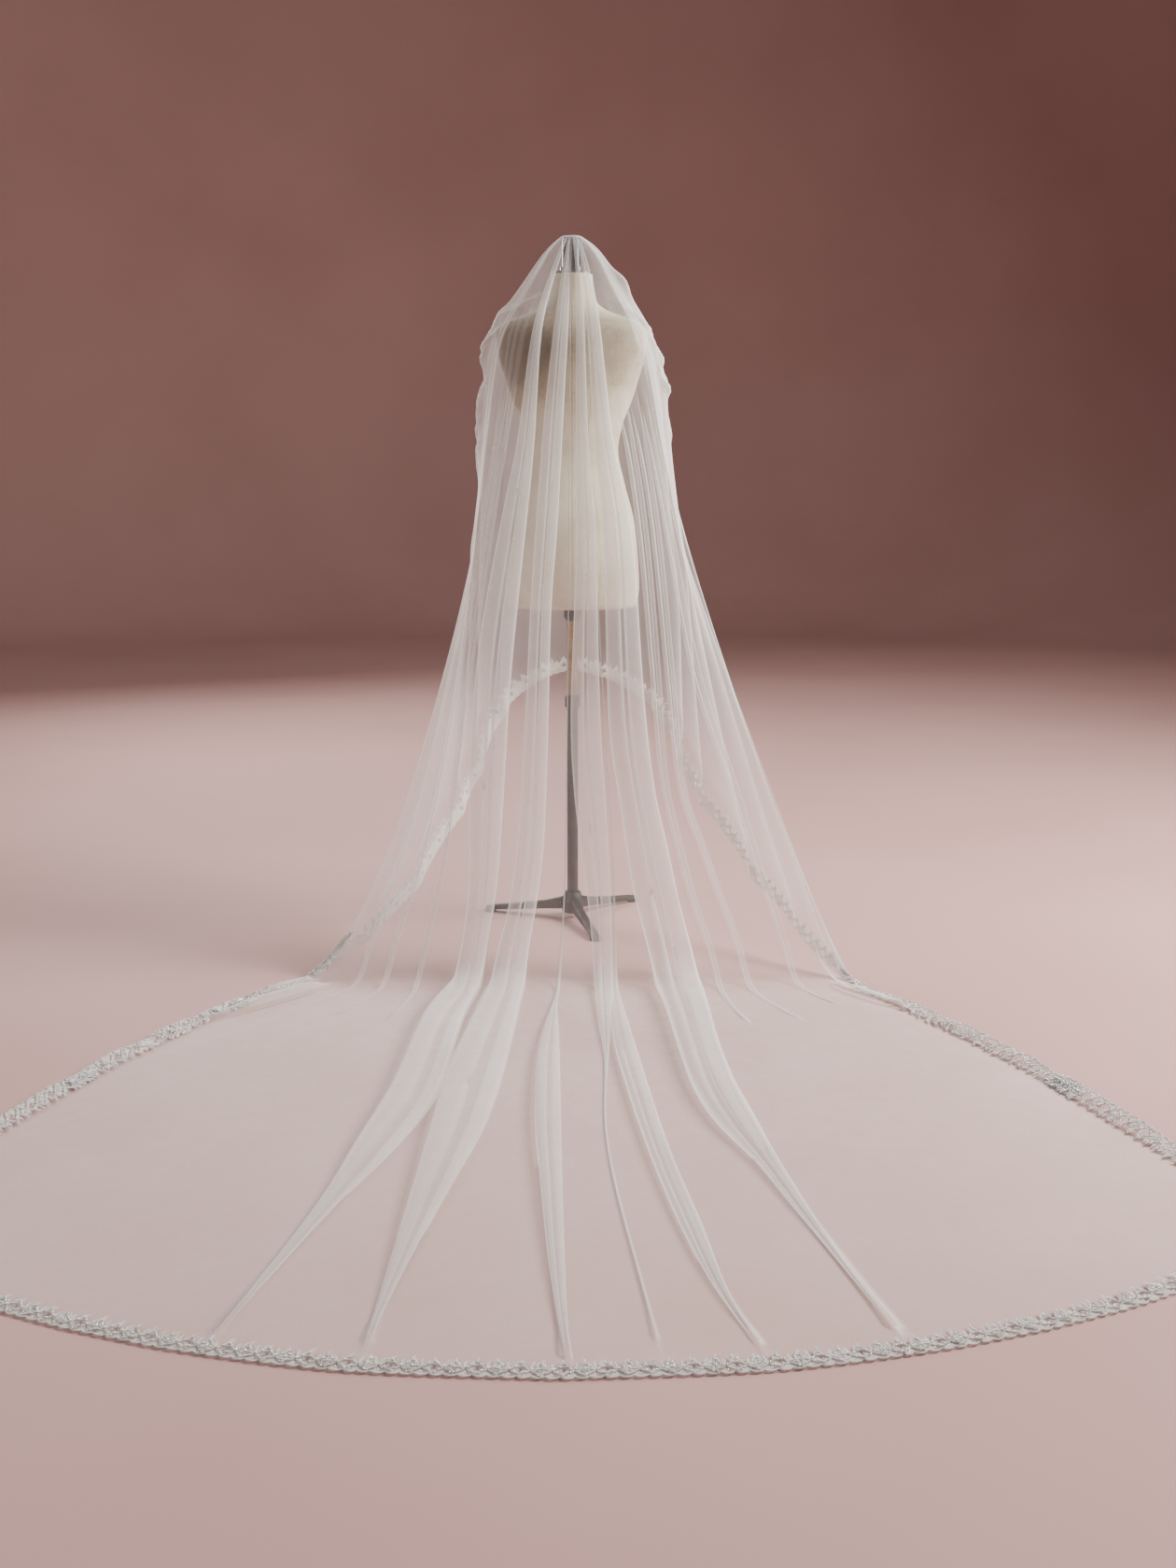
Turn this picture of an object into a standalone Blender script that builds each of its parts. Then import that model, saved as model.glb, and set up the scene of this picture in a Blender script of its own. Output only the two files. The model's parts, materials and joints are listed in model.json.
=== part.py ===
"""A cathedral-length bridal veil, draped over the neck post of a limbless dress form on a tripod stand.

The veil is one oval piece of tulle with a lace border all round its edge. It hangs from the top of
the post like a tent, open in a low arch at the front, and its back runs out along the floor as a
train. The front of the form faces +Y and the train runs towards -Y.

Everything is modelled about the axis of the stand, and an empty then carries it, so that the origin
of the part is the middle of its box on the floor.
"""
import math

import bmesh
import bpy
from mathutils import Vector

# Stand and form, heights above the floor and radii
POST_TOP = 1.620
POST_RADIUS = 0.0215
NECK_TOP = 1.537
NECK_RADIUS = 0.0485
CAP_THICKNESS = 0.005
TORSO_BOTTOM = 0.772
KNOB_BOTTOM = 0.737
KNOB_RADIUS = 0.020
UPPER_TUBE_RADIUS = 0.0130
COLLAR_TOP = 0.556
COLLAR_BOTTOM = 0.526
COLLAR_RADIUS = 0.0180
LOWER_TUBE_RADIUS = 0.0135
HUB_TOP = 0.066
HUB_BOTTOM = 0.014
HUB_RADIUS = 0.027
LEG_REACH = 0.215
LEG_WIDTH = 0.020
LEG_ANGLES = {"left": 165.0, "right": 45.0, "near": -75.0}
FOOT_RADIUS = 0.014
FOOT_HEIGHT = 0.007

# Veil
WALL = 0.0015
GAP = 0.0004
CROWN_CLEARANCE = 0.0006
TRAIN_REACH = 2.140
FRONT_REACH = 0.205
ARCH_HEIGHT = 0.600
LACE_WIDTH = 0.040
LACE_MARGIN = 0.002
LACE_WALL = 0.0030
LACE_REPEAT = 0.054

# Points across the lace, as shares from its outer edge to its inner one, where it is widest and narrowest.
LACE_BELLY = (0.02, 0.34, 0.66, 0.97)
LACE_NECK = (0.10, 0.36, 0.62, 0.78)

# The stand's axis sits this far along +Y from the middle of the whole box.
AXIS_Y = (TRAIN_REACH - FRONT_REACH) / 2

# Sections of the tent, from the crown to the floor. Each is a loop through the front, the sides, the
# two back corners where the cloth is drawn out, and the back, as distances from the axis.
TENT_COLUMNS = ("height", "front", "side_left", "side_right", "corner_left", "corner_right",
                "corner_back", "back")
TENT_ROWS = (
    (1.6190, 0.0240, 0.0240, 0.0240, 0.0175, 0.0175, 0.0175, 0.0240),
    (1.5920, 0.0410, 0.0550, 0.0590, 0.0440, 0.0460, 0.0330, 0.0390),
    (1.5480, 0.0550, 0.0880, 0.0930, 0.0690, 0.0710, 0.0450, 0.0530),
    (1.4920, 0.0760, 0.1280, 0.1300, 0.0970, 0.0970, 0.0600, 0.0700),
    (1.4180, 0.1050, 0.1830, 0.1830, 0.1450, 0.1450, 0.0820, 0.0930),
    (1.3100, 0.1400, 0.2080, 0.2120, 0.1720, 0.1760, 0.1080, 0.1190),
    (1.1200, 0.1560, 0.2200, 0.2320, 0.1950, 0.2100, 0.1580, 0.1730),
    (0.9500, 0.1620, 0.2250, 0.2500, 0.2150, 0.2450, 0.2080, 0.2230),
    (0.7900, 0.1700, 0.2320, 0.2700, 0.2480, 0.2960, 0.2560, 0.2700),
    (0.5100, 0.1900, 0.2420, 0.2850, 0.3230, 0.4000, 0.3420, 0.3530),
    (0.3160, 0.2000, 0.2600, 0.3000, 0.3850, 0.4700, 0.4020, 0.4120),
    (0.1900, 0.2050, 0.2800, 0.3200, 0.4370, 0.5180, 0.4380, 0.4500),
    (0.0740, 0.2050, 0.3000, 0.3400, 0.5000, 0.5600, 0.4720, 0.4900),
    (0.0220, 0.2050, 0.3100, 0.3500, 0.5440, 0.5860, 0.4950, 0.5300),
    (0.0000, 0.2050, 0.3200, 0.3600, 0.5800, 0.6100, 0.5150, 0.5900),
)

# Height of the hem along its hanging stretch, from a back corner (0) round to the middle of the front (1).
HANGING_HEM = ((0.00, 0.000), (0.10, 0.055), (0.25, 0.160), (0.42, 0.285), (0.60, 0.400), (0.78, 0.520),
               (0.90, 0.580), (1.00, ARCH_HEIGHT))

# Half of the train's outline on the floor, from the middle of its back edge to the corner.
TRAIN_OUTLINE = ((0.000, -TRAIN_REACH), (0.240, -2.124), (0.470, -2.076), (0.720, -1.984), (0.900, -1.876),
                 (1.015, -1.745), (1.040, -1.600), (0.985, -1.400), (0.893, -1.110), (0.787, -0.860),
                 (0.680, -0.640))

# The long folds of the back, from left to right. Centres are distances from the axis, at the height of
# the waist, where the fold meets the floor, half way along the train and at the hem. Half widths and
# lifts are given at the waist, the floor and half way. A fold lies flat from `ends`, a share of the train.
FOLD_COLUMNS = ("name", "waist", "foot", "middle", "hem", "half_waist", "half_foot", "half_middle",
                "lift_waist", "lift_foot", "lift_middle", "ends")
FOLD_ROWS = (
    ("outer_left", -0.180, -0.400, -0.520, -0.760, 0.013, 0.018, 0.020, 0.014, 0.020, 0.008, 0.40),
    ("left", -0.140, -0.268, -0.292, -0.452, 0.016, 0.040, 0.038, 0.020, 0.050, 0.040, 1.00),
    ("left_bundle", -0.102, -0.200, -0.236, -0.350, 0.014, 0.014, 0.010, 0.020, 0.018, 0.006, 0.25),
    ("left_of_middle", -0.054, -0.134, -0.176, -0.246, 0.025, 0.040, 0.042, 0.030, 0.054, 0.044, 1.00),
    ("middle", -0.016, -0.028, -0.032, 0.015, 0.006, 0.012, 0.020, 0.000, 0.004, 0.026, 1.00),
    ("right_of_middle", 0.026, 0.066, 0.068, 0.130, 0.023, 0.020, 0.010, 0.028, 0.036, 0.014, 0.50),
    ("inner_right", 0.060, 0.108, 0.141, 0.264, 0.007, 0.014, 0.020, 0.004, 0.018, 0.026, 1.00),
    ("right", 0.102, 0.220, 0.284, 0.442, 0.028, 0.045, 0.036, 0.034, 0.060, 0.040, 1.00),
    ("right_bundle", 0.152, 0.330, 0.420, 0.600, 0.012, 0.014, 0.014, 0.014, 0.018, 0.006, 0.30),
    ("outer_right", 0.184, 0.420, 0.530, 0.760, 0.012, 0.014, 0.016, 0.014, 0.018, 0.006, 0.30),
)
WIDE_FOLD = 0.024
HEM_HALF_WIDTH = 0.016
WIDE_STEPS = (-1.0, -0.62, -0.40, -0.16, 0.16, 0.40, 0.62)
NARROW_STEPS = (-1.0, -0.45, 0.0, 0.45)
FOLD_OVERHANG = 0.14

# The folds of the hanging front and sides, from the right corner to the left one: how wide each is
# beside the others, and its lift at the shoulder, at the waist and at the hem.
DRAPE_COLUMNS = ("name", "width", "lift_shoulder", "lift_waist", "lift_hem")
DRAPE_ROWS = (
    ("corner_right", 0.9, 0.002, 0.012, 0.004),
    ("side_right_back", 1.1, 0.003, 0.018, 0.028),
    ("side_right", 0.9, 0.004, 0.022, 0.034),
    ("arm_right", 1.0, 0.004, 0.018, 0.028),
    ("front_right_outer", 1.1, 0.002, 0.014, 0.030),
    ("front_right", 0.9, 0.002, 0.010, 0.024),
    ("front_left", 1.0, 0.002, 0.012, 0.028),
    ("front_left_outer", 0.9, 0.002, 0.014, 0.026),
    ("arm_left", 1.1, 0.006, 0.020, 0.032),
    ("side_left", 0.9, 0.004, 0.018, 0.030),
    ("side_left_back", 1.0, 0.003, 0.016, 0.024),
    ("corner_left", 0.9, 0.002, 0.012, 0.004),
)
DRAPE_STEPS = (0.0, 0.25, 0.5, 0.75)

# Rows of points down each line of cloth, as shares of its length.
SHOULDER_SHARES = (0.0, 0.25, 0.50, 0.75)
ROWS_BELOW_SHOULDER = 14
SHOULDER_RING = 4
WAIST_RING = 7
SIDE_LINES = 8
SIDE_CROWDING = 1.6

# Sections of the torso: height, half width, reach to the front and to the back, squareness.
TORSO_COLUMNS = ("height", "half_width", "front", "back", "power")
TORSO_ROWS = (
    (TORSO_BOTTOM, 0.1500, 0.0900, 0.1120, 2.2),
    (0.7820, 0.1560, 0.0960, 0.1180, 2.2),
    (0.8200, 0.1600, 0.1010, 0.1260, 2.2),
    (0.8700, 0.1580, 0.1020, 0.1320, 2.2),
    (0.9700, 0.1480, 0.0980, 0.1200, 2.2),
    (1.0600, 0.1250, 0.0880, 0.0920, 2.1),
    (1.1400, 0.1090, 0.0840, 0.0740, 2.0),
    (1.2000, 0.1200, 0.0980, 0.0760, 2.0),
    (1.2500, 0.1400, 0.1180, 0.0840, 2.1),
    (1.3000, 0.1560, 0.1140, 0.0880, 2.2),
    (1.3600, 0.1720, 0.0900, 0.0860, 2.2),
    (1.4050, 0.1770, 0.0640, 0.0740, 2.2),
    (1.4280, 0.1600, 0.0500, 0.0640, 2.1),
    (1.4445, 0.1150, 0.0460, 0.0580, 2.0),
    (1.4590, 0.0780, 0.0500, 0.0540, 2.0),
    (1.4750, 0.0590, 0.0500, 0.0510, 2.0),
    (1.4960, 0.0515, 0.0490, 0.0495, 2.0),
    (NECK_TOP, NECK_RADIUS, NECK_RADIUS, NECK_RADIUS, 2.0),
)
TORSO_SEGMENTS = 28
ROUND_SEGMENTS = 20


def material(name, colour, roughness, metallic=0.0):
    """A plain material in the part's own colour."""
    mat = bpy.data.materials.new(name)
    mat.use_nodes = True
    shader = mat.node_tree.nodes["Principled BSDF"]
    shader.inputs["Base Color"].default_value = (*colour, 1.0)
    shader.inputs["Roughness"].default_value = roughness
    shader.inputs["Metallic"].default_value = metallic
    return mat


def add_object(name, mesh, mat, collection, parent):
    """Put a mesh into the scene as a named part of the veil and its stand."""
    obj = bpy.data.objects.new(name, mesh)
    obj.data.materials.append(mat)
    collection.objects.link(obj)
    obj.parent = parent
    return obj


def mesh_from(name, bm):
    """Turn a bmesh into a mesh with outward normals kept as built."""
    mesh = bpy.data.meshes.new(name)
    bm.to_mesh(mesh)
    bm.free()
    return mesh


def named(columns, row):
    """A table row as a dictionary."""
    return dict(zip(columns, row))


def smooth(points, position):
    """Catmull-Rom curve through the points; whole-number positions are the points themselves."""
    last = len(points) - 1
    index = min(max(int(math.floor(position)), 0), last - 1)
    part = position - index
    before = points[max(index - 1, 0)]
    start = points[index]
    end = points[index + 1]
    after = points[min(index + 2, last)]
    result = []
    for a, b, c, d in zip(before, start, end, after):
        value = 2 * b + (c - a) * part
        value += (2 * a - 5 * b + 4 * c - d) * part ** 2
        value += (3 * b - a - 3 * c + d) * part ** 3
        result.append(value / 2)
    return tuple(result)


def along(points, share):
    """Linear reading of a table of (share, value) pairs."""
    for (x0, y0), (x1, y1) in zip(points, points[1:]):
        if share <= x1:
            return y0 + (y1 - y0) * (share - x0) / (x1 - x0)
    return points[-1][1]


def drawn(points, steps):
    """Closely spaced points on the smooth curve, with the length run up to each."""
    count = steps * (len(points) - 1)
    fine = [Vector(smooth(points, i / steps)) for i in range(count + 1)]
    runs = [0.0]
    for start, end in zip(fine, fine[1:]):
        runs.append(runs[-1] + (end - start).length)
    return fine, runs


def place_in(runs, length):
    """Index of the stretch that holds a length, and the share of that stretch."""
    index = next((i for i in range(1, len(runs)) if length <= runs[i] + 1e-9), len(runs) - 1)
    step = runs[index] - runs[index - 1]
    return index, (length - runs[index - 1]) / step if step > 0 else 0.0


def section(ring):
    """Sizes of the tent at a ring position, which may lie between two rows of the table."""
    return named(TENT_COLUMNS, smooth(TENT_ROWS, ring))


def drape_loop(sizes):
    """Plan points of one section from the right corner, round the front, to the left corner."""
    diagonal = 0.74
    right, left = sizes["side_right"], sizes["side_left"]
    return (
        (sizes["corner_right"], -sizes["corner_back"]),
        ((sizes["corner_right"] + right) / 2, -sizes["corner_back"] / 2),
        (right, 0.0),
        (right * diagonal, sizes["front"] * diagonal),
        (0.0, sizes["front"]),
        (-left * diagonal, sizes["front"] * diagonal),
        (-left, 0.0),
        (-(sizes["corner_left"] + left) / 2, -sizes["corner_back"] / 2),
        (-sizes["corner_left"], -sizes["corner_back"]),
    )


def ring_at_height(height):
    """Ring position of a height, read down the table of sections."""
    for index, (upper, lower) in enumerate(zip(TENT_ROWS, TENT_ROWS[1:])):
        if height >= lower[0]:
            return index + (upper[0] - height) / (upper[0] - lower[0])
    return float(len(TENT_ROWS) - 1)


LAST_RING = len(TENT_ROWS) - 1
CONTACT_BACK = TENT_ROWS[-1][-1]


def back_base(x_share, ring):
    """Point of the tent's back, where x_share runs from -1 at the left corner to 1 at the right one."""
    sizes = section(min(ring, LAST_RING))
    half = sizes["corner_right"] if x_share > 0 else sizes["corner_left"]
    rounding = abs(x_share) ** 4
    y = -sizes["back"] + (sizes["back"] - sizes["corner_back"]) * rounding
    return Vector((x_share * half, y, max(sizes["height"], 0.0)))


def hang_base(way, ring):
    """Point of the hanging front and sides; way runs from 0 at the right corner to 1 at the left."""
    sizes = section(ring)
    loop = drape_loop(sizes)
    x, y = smooth(loop, way * (len(loop) - 1))
    return Vector((x, y, max(sizes["height"], 0.0)))


def train_edge(side):
    """The train's outline on one side, from the middle of its back edge to the corner on the floor."""
    corner = section(LAST_RING)
    half = corner["corner_right"] if side > 0 else corner["corner_left"]
    outline = [(side * x, y, 0.0) for x, y in TRAIN_OUTLINE]
    outline.append((side * half, -corner["corner_back"], 0.0))
    return drawn(outline, 8)


def run_to(side, x):
    """Length along the train's outline from its middle to a distance x from the middle line."""
    fine, runs = train_edge(side)
    index = next(i for i in range(1, len(fine)) if side * fine[i].x >= abs(x))
    share = (x - fine[index - 1].x) / (fine[index].x - fine[index - 1].x)
    return runs[index - 1] + (runs[index] - runs[index - 1]) * share


def edge_point(side, length):
    """Point of the train's outline at a length from its middle."""
    fine, runs = train_edge(side)
    index, share = place_in(runs, length)
    return fine[index - 1].lerp(fine[index], share)


class BackLine:
    """One line of cloth that runs down the back and out along the train."""

    def __init__(self, fold, step):
        self.fold = fold
        self.step = step

    def side_shift(self):
        """Where across the fold this line runs, from -1 to 1, with its flanks drawn in."""
        return self.step + FOLD_OVERHANG * math.sin(2 * math.pi * self.step)

    def rise(self):
        return (1 + math.cos(math.pi * self.step)) / 2

    def base(self, ring, train):
        """The flat cloth under the line: ring counts down the tent, train is the share of the floor run."""
        fold = self.fold
        if train <= 0.0:
            down = min(max((ring - WAIST_RING) / (LAST_RING - WAIST_RING), 0.0), 1.0)
            waist = section(WAIST_RING)
            foot = section(LAST_RING)
            here = section(ring)
            side = "corner_right" if fold["waist"] > 0 else "corner_left"
            share_waist = fold["waist"] / waist[side]
            share_foot = fold["foot"] / foot[side]
            share = share_waist + (share_foot - share_waist) * down
            narrowing = min(here[side] / waist[side], 1.0)
            half_tent = fold["half_waist"] * narrowing
            half = half_tent + (fold["half_foot"] - half_tent) * down ** 1.5
            half_share = half / here[side]
            return back_base(share + half_share * self.side_shift(), ring)
        centres = ((fold["foot"],), (fold["middle"],), (fold["hem"],))
        centre = smooth(centres, train * 2)[0]
        halves = ((0.0, fold["half_foot"]), (0.5, fold["half_middle"]), (1.0, HEM_HALF_WIDTH))
        start = self.base(LAST_RING, 0.0)
        at_hem = fold["hem"] + HEM_HALF_WIDTH * self.side_shift()
        side = math.copysign(1.0, at_hem)
        end = edge_point(side, run_to(side, at_hem))
        x = centre + along(halves, train) * self.side_shift()
        return Vector((x, start.y + (end.y - start.y) * train, 0.0))

    def lift(self, ring, train):
        fold = self.fold
        if train <= 0.0:
            if ring <= WAIST_RING:
                return self.rise() * fold["lift_waist"] * (ring / WAIST_RING) ** 1.2
            down = (ring - WAIST_RING) / (LAST_RING - WAIST_RING)
            height = fold["lift_waist"] + (fold["lift_foot"] - fold["lift_waist"]) * down
            return self.rise() * height
        lifts = ((0.0, fold["lift_foot"]), (0.5 * fold["ends"], max(fold["lift_middle"], fold["lift_foot"] / 2)),
                 (0.92 * fold["ends"], 0.0), (1.01, 0.0))
        return self.rise() * along(lifts, train)


class SideLine:
    """One flat line of cloth beside the folds, from the tent's back to the side of the train.

    The lines stand closer together towards the corner, where the train runs out to nothing.
    """

    def __init__(self, fold, side, share):
        self.fold = fold
        self.side = side
        self.share = 1 - (1 - share) ** SIDE_CROWDING

    def base(self, ring, train):
        fold, side = self.fold, self.side
        edge = BackLine(fold, float(side))
        if train <= 0.0:
            at_fold = edge.base(ring, 0.0)
            sizes = section(min(ring, LAST_RING))
            half = sizes["corner_right"] if side > 0 else sizes["corner_left"]
            start = abs(at_fold.x) / half
            return back_base(side * (start + (1 - start) * self.share), ring)
        foot = self.base(LAST_RING, 0.0)
        start = run_to(side, edge.base(LAST_RING, 1.0).x)
        whole = train_edge(side)[1][-1]
        hem = edge_point(side, start + (whole - start) * self.share)
        bend = train ** (1.0 + 0.5 * (1 - self.share))
        return Vector((foot.x + (hem.x - foot.x) * bend, foot.y + (hem.y - foot.y) * train, 0.0))

    def lift(self, ring, train):
        return 0.0


class HangingLine:
    """One line of cloth of the front or the sides, which ends at the hanging hem."""

    def __init__(self, way, drape, step):
        self.way = way
        self.drape = drape
        self.step = step
        from_corner = 2 * min(way, 1 - way)
        self.last_ring = ring_at_height(along(HANGING_HEM, from_corner))

    def base(self, ring, train):
        return hang_base(self.way, ring)

    def lift(self, ring, train):
        rise = (1 - math.cos(2 * math.pi * self.step)) / 2
        drape = self.drape
        heights = ((0.0, 0.0), (SHOULDER_RING, drape["lift_shoulder"]), (WAIST_RING, drape["lift_waist"]),
                   (LAST_RING, drape["lift_hem"]))
        return rise * along(heights, ring)


def lines_of_cloth():
    """Every line from crown to hem, once round: back from left to right, then the right side and front."""
    folds = [named(FOLD_COLUMNS, row) for row in FOLD_ROWS]
    lines = []
    for index in range(SIDE_LINES):
        lines.append(SideLine(folds[0], -1, 1 - index / SIDE_LINES))
    for fold in folds:
        wide = max(fold["half_foot"], fold["half_middle"]) > WIDE_FOLD
        steps = WIDE_STEPS if wide else NARROW_STEPS
        for step in (*steps, 1.0):
            lines.append(BackLine(fold, step))
    for index in range(1, SIDE_LINES):
        lines.append(SideLine(folds[-1], 1, index / SIDE_LINES))
    way = 0.0
    drapes = [named(DRAPE_COLUMNS, row) for row in DRAPE_ROWS]
    whole = sum(drape["width"] for drape in drapes)
    for drape in drapes:
        share = drape["width"] / whole
        for step in DRAPE_STEPS:
            lines.append(HangingLine(way + share * step, drape, step))
        way += share
    return lines


def line_points(line):
    """Points down one line of cloth, with the lift of its fold at each.

    One row lies where the line meets the floor, and the last but one as far from the hem as the lace
    is wide.
    """
    hanging = isinstance(line, HangingLine)
    end_ring = line.last_ring if hanging else LAST_RING
    fine = 60
    path = [(SHOULDER_RING + (end_ring - SHOULDER_RING) * i / fine, 0.0) for i in range(fine + 1)]
    if not hanging:
        path += [(end_ring, i / fine) for i in range(1, fine + 1)]
    places = [line.base(*spot) for spot in path]
    runs = [0.0]
    for start, end in zip(places, places[1:]):
        runs.append(runs[-1] + (end - start).length)
    spots = [(SHOULDER_RING * share, 0.0) for share in SHOULDER_SHARES]
    band = LACE_WIDTH + LACE_MARGIN
    upper = runs[fine]
    lower = runs[-1] - band - upper
    if lower > band:
        tent_rows = round(ROWS_BELOW_SHOULDER * upper / (upper + lower))
        train_rows = ROWS_BELOW_SHOULDER - tent_rows
        wanted = [upper * i / tent_rows for i in range(tent_rows)]
        wanted += [upper + lower * i / train_rows for i in range(train_rows + 1)]
    else:
        wanted = [(upper + lower) * i / ROWS_BELOW_SHOULDER for i in range(ROWS_BELOW_SHOULDER + 1)]
    wanted.append(runs[-1])
    for length in wanted:
        index, part = place_in(runs, length)
        (ring0, train0), (ring1, train1) = path[index - 1], path[index]
        spots.append((ring0 + (ring1 - ring0) * part, train0 + (train1 - train0) * part))
    return [(line.base(*spot), line.lift(*spot)) for spot in spots]


def cloth_grid():
    """The inner face of the tulle, as columns of points, and its outward directions."""
    flat = [line_points(line) for line in lines_of_cloth()]
    columns = len(flat)
    rows = len(flat[0])
    grid = []
    for i in range(columns):
        before, after = flat[i - 1], flat[(i + 1) % columns]
        points = []
        for j in range(rows):
            place, lift = flat[i][j]
            above = flat[i][max(j - 1, 0)][0]
            below = flat[i][min(j + 1, rows - 1)][0]
            across = after[j][0] - before[j][0]
            outward = (below - above).cross(across).normalized()
            if place.z < 1e-6:
                outward = Vector((0.0, 0.0, 1.0))
            points.append(place + outward * lift)
        grid.append(points)
    return grid


def valley_faces(bm, corners):
    """Two triangles for a twisted quad, creased inwards.

    The bend where the tent meets the floor then runs true, and the lace can lie on the hem.
    """
    a, b, c, d = corners
    outward = (c.co - a.co).cross(d.co - b.co)
    if ((a.co + c.co) - (b.co + d.co)).dot(outward) < 0:
        bm.faces.new((a, b, c))
        bm.faces.new((a, c, d))
    else:
        bm.faces.new((a, b, d))
        bm.faces.new((b, c, d))


def tulle_surface(grid):
    """The open inner face of the veil as a bmesh, closed at the crown."""
    bm = bmesh.new()
    columns = [[bm.verts.new(point) for point in line] for line in grid]
    count = len(columns)
    inner = []
    for line in grid:
        top = line[0]
        inner.append(bm.verts.new((top.x * 0.5, top.y * 0.5, POST_TOP + CROWN_CLEARANCE)))
    centre = bm.verts.new((0.0, 0.0, POST_TOP + CROWN_CLEARANCE))
    for i in range(count):
        k = (i + 1) % count
        bm.faces.new((centre, inner[i], inner[k]))
        bm.faces.new((inner[i], columns[i][0], columns[k][0], inner[k]))
        for j in range(len(columns[i]) - 1):
            valley_faces(bm, (columns[i][j], columns[i][j + 1], columns[k][j + 1], columns[k][j]))
    bm.normal_update()
    return bm, columns


def solidify(obj, thickness, group=""):
    """Give an open surface its wall, outwards from the surface."""
    modifier = obj.modifiers.new("wall", "SOLIDIFY")
    modifier.thickness = thickness
    modifier.offset = 1.0
    if group:
        modifier.vertex_group = group
        modifier.thickness_vertex_group = 0.4
    return modifier


def build_tulle_and_lace(collection, parent):
    grid = cloth_grid()
    bm, columns = tulle_surface(grid)
    normals = [[vert.normal.copy() for vert in line[-2:]] for line in columns]
    mesh = mesh_from("tulle", bm)
    tulle = add_object("tulle", mesh, material("tulle", (0.90, 0.88, 0.85), 0.8), collection, parent)
    solidify(tulle, WALL)
    build_lace(grid, normals, collection, parent)


def lace_rows(rails):
    """Where the lace has its rows of points, as pairs of a stretch of hem and a share of it.

    Where the cloth hangs, each stretch between two lines of cloth has whole repeats of its own, so
    that the lace bends where the cloth does. On the floor the repeats run on regardless of the lines.
    """
    count = len(rails)
    lengths = [(rails[(i + 1) % count][1] - rails[i][1]).length for i in range(count)]
    level = WALL + GAP + 1e-5
    flat = [max(point.z for point in (*rails[i], *rails[(i + 1) % count])) < level for i in range(count)]
    rows = [(i, 0.5 * half / max(1, round(lengths[i] / LACE_REPEAT)))
            for i in range(count) if not flat[i]
            for half in range(2 * max(1, round(lengths[i] / LACE_REPEAT)))]
    floor = [i for i in range(count) if flat[i]]
    runs = [0.0]
    for i in floor:
        runs.append(runs[-1] + lengths[i])
    halves = 2 * round(runs[-1] / LACE_REPEAT)
    for half in range(halves):
        index, share = place_in(runs, runs[-1] * half / halves)
        rows.append((floor[index - 1], share))
    return sorted(rows)


def build_lace(grid, normals, collection, parent):
    """The border: a scalloped band on the outside of the hem, pierced once in each repeat."""
    rails = []
    for line, (inner_normal, outer_normal) in zip(grid, normals):
        rails.append((line[-2] + inner_normal * (WALL + GAP), line[-1] + outer_normal * (WALL + GAP)))
    bm = bmesh.new()
    rows = []
    for number, (i, share) in enumerate(lace_rows(rails)):
        following = rails[(i + 1) % len(rails)]
        inner = rails[i][0].lerp(following[0], share)
        outer = rails[i][1].lerp(following[1], share)
        edges = LACE_BELLY if number % 2 else LACE_NECK
        rows.append([bm.verts.new(outer.lerp(inner, edge)) for edge in edges])
    for number, row in enumerate(rows):
        after = rows[(number + 1) % len(rows)]
        for c in range(3):
            pierced = number % 2 and c == 1
            if not pierced:
                bm.faces.new((row[c + 1], row[c], after[c], after[c + 1]))
    bm.normal_update()
    bm.verts.index_update()
    leaves = [vert.index for row in rows[1::2] for vert in row[1:3]]
    mat = material("lace", (0.80, 0.77, 0.72), 0.5)
    lace = add_object("lace_border", mesh_from("lace_border", bm), mat, collection, parent)
    group = lace.vertex_groups.new(name="raised_leaves")
    group.add(leaves, 1.0, "REPLACE")
    solidify(lace, LACE_WALL, "raised_leaves")


def build_torso(collection, parent):
    bm = bmesh.new()
    rings = []
    for row in TORSO_ROWS:
        size = named(TORSO_COLUMNS, row)
        ring = []
        for i in range(TORSO_SEGMENTS):
            angle = 2 * math.pi * i / TORSO_SEGMENTS
            power = 2 / size["power"]
            x = size["half_width"] * math.copysign(abs(math.cos(angle)) ** power, math.cos(angle))
            reach = size["front"] if math.sin(angle) > 0 else size["back"]
            y = reach * math.copysign(abs(math.sin(angle)) ** power, math.sin(angle))
            ring.append(bm.verts.new((x, y, size["height"])))
        rings.append(ring)
    for lower, upper in zip(rings, rings[1:]):
        for i in range(TORSO_SEGMENTS):
            k = (i + 1) % TORSO_SEGMENTS
            bm.faces.new((lower[i], lower[k], upper[k], upper[i]))
    bm.faces.new(list(reversed(rings[0])))
    bm.faces.new(rings[-1])
    mesh = mesh_from("torso", bm)
    mesh.shade_smooth()
    return add_object("torso", mesh, material("linen", (0.80, 0.75, 0.62), 0.9), collection, parent)


def turned(name, profile, mat, collection, parent):
    """A round piece from a profile of (radius, height) points, top to bottom."""
    bm = bmesh.new()
    verts = [bm.verts.new((radius, 0.0, height)) for radius, height in profile]
    for start, end in zip(verts, verts[1:]):
        bm.edges.new((start, end))
    mesh = mesh_from(name, bm)
    obj = add_object(name, mesh, mat, collection, parent)
    screw = obj.modifiers.new("turn", "SCREW")
    screw.steps = ROUND_SEGMENTS
    screw.render_steps = ROUND_SEGMENTS
    screw.use_merge_vertices = True
    screw.merge_threshold = 0.0001
    return obj


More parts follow.
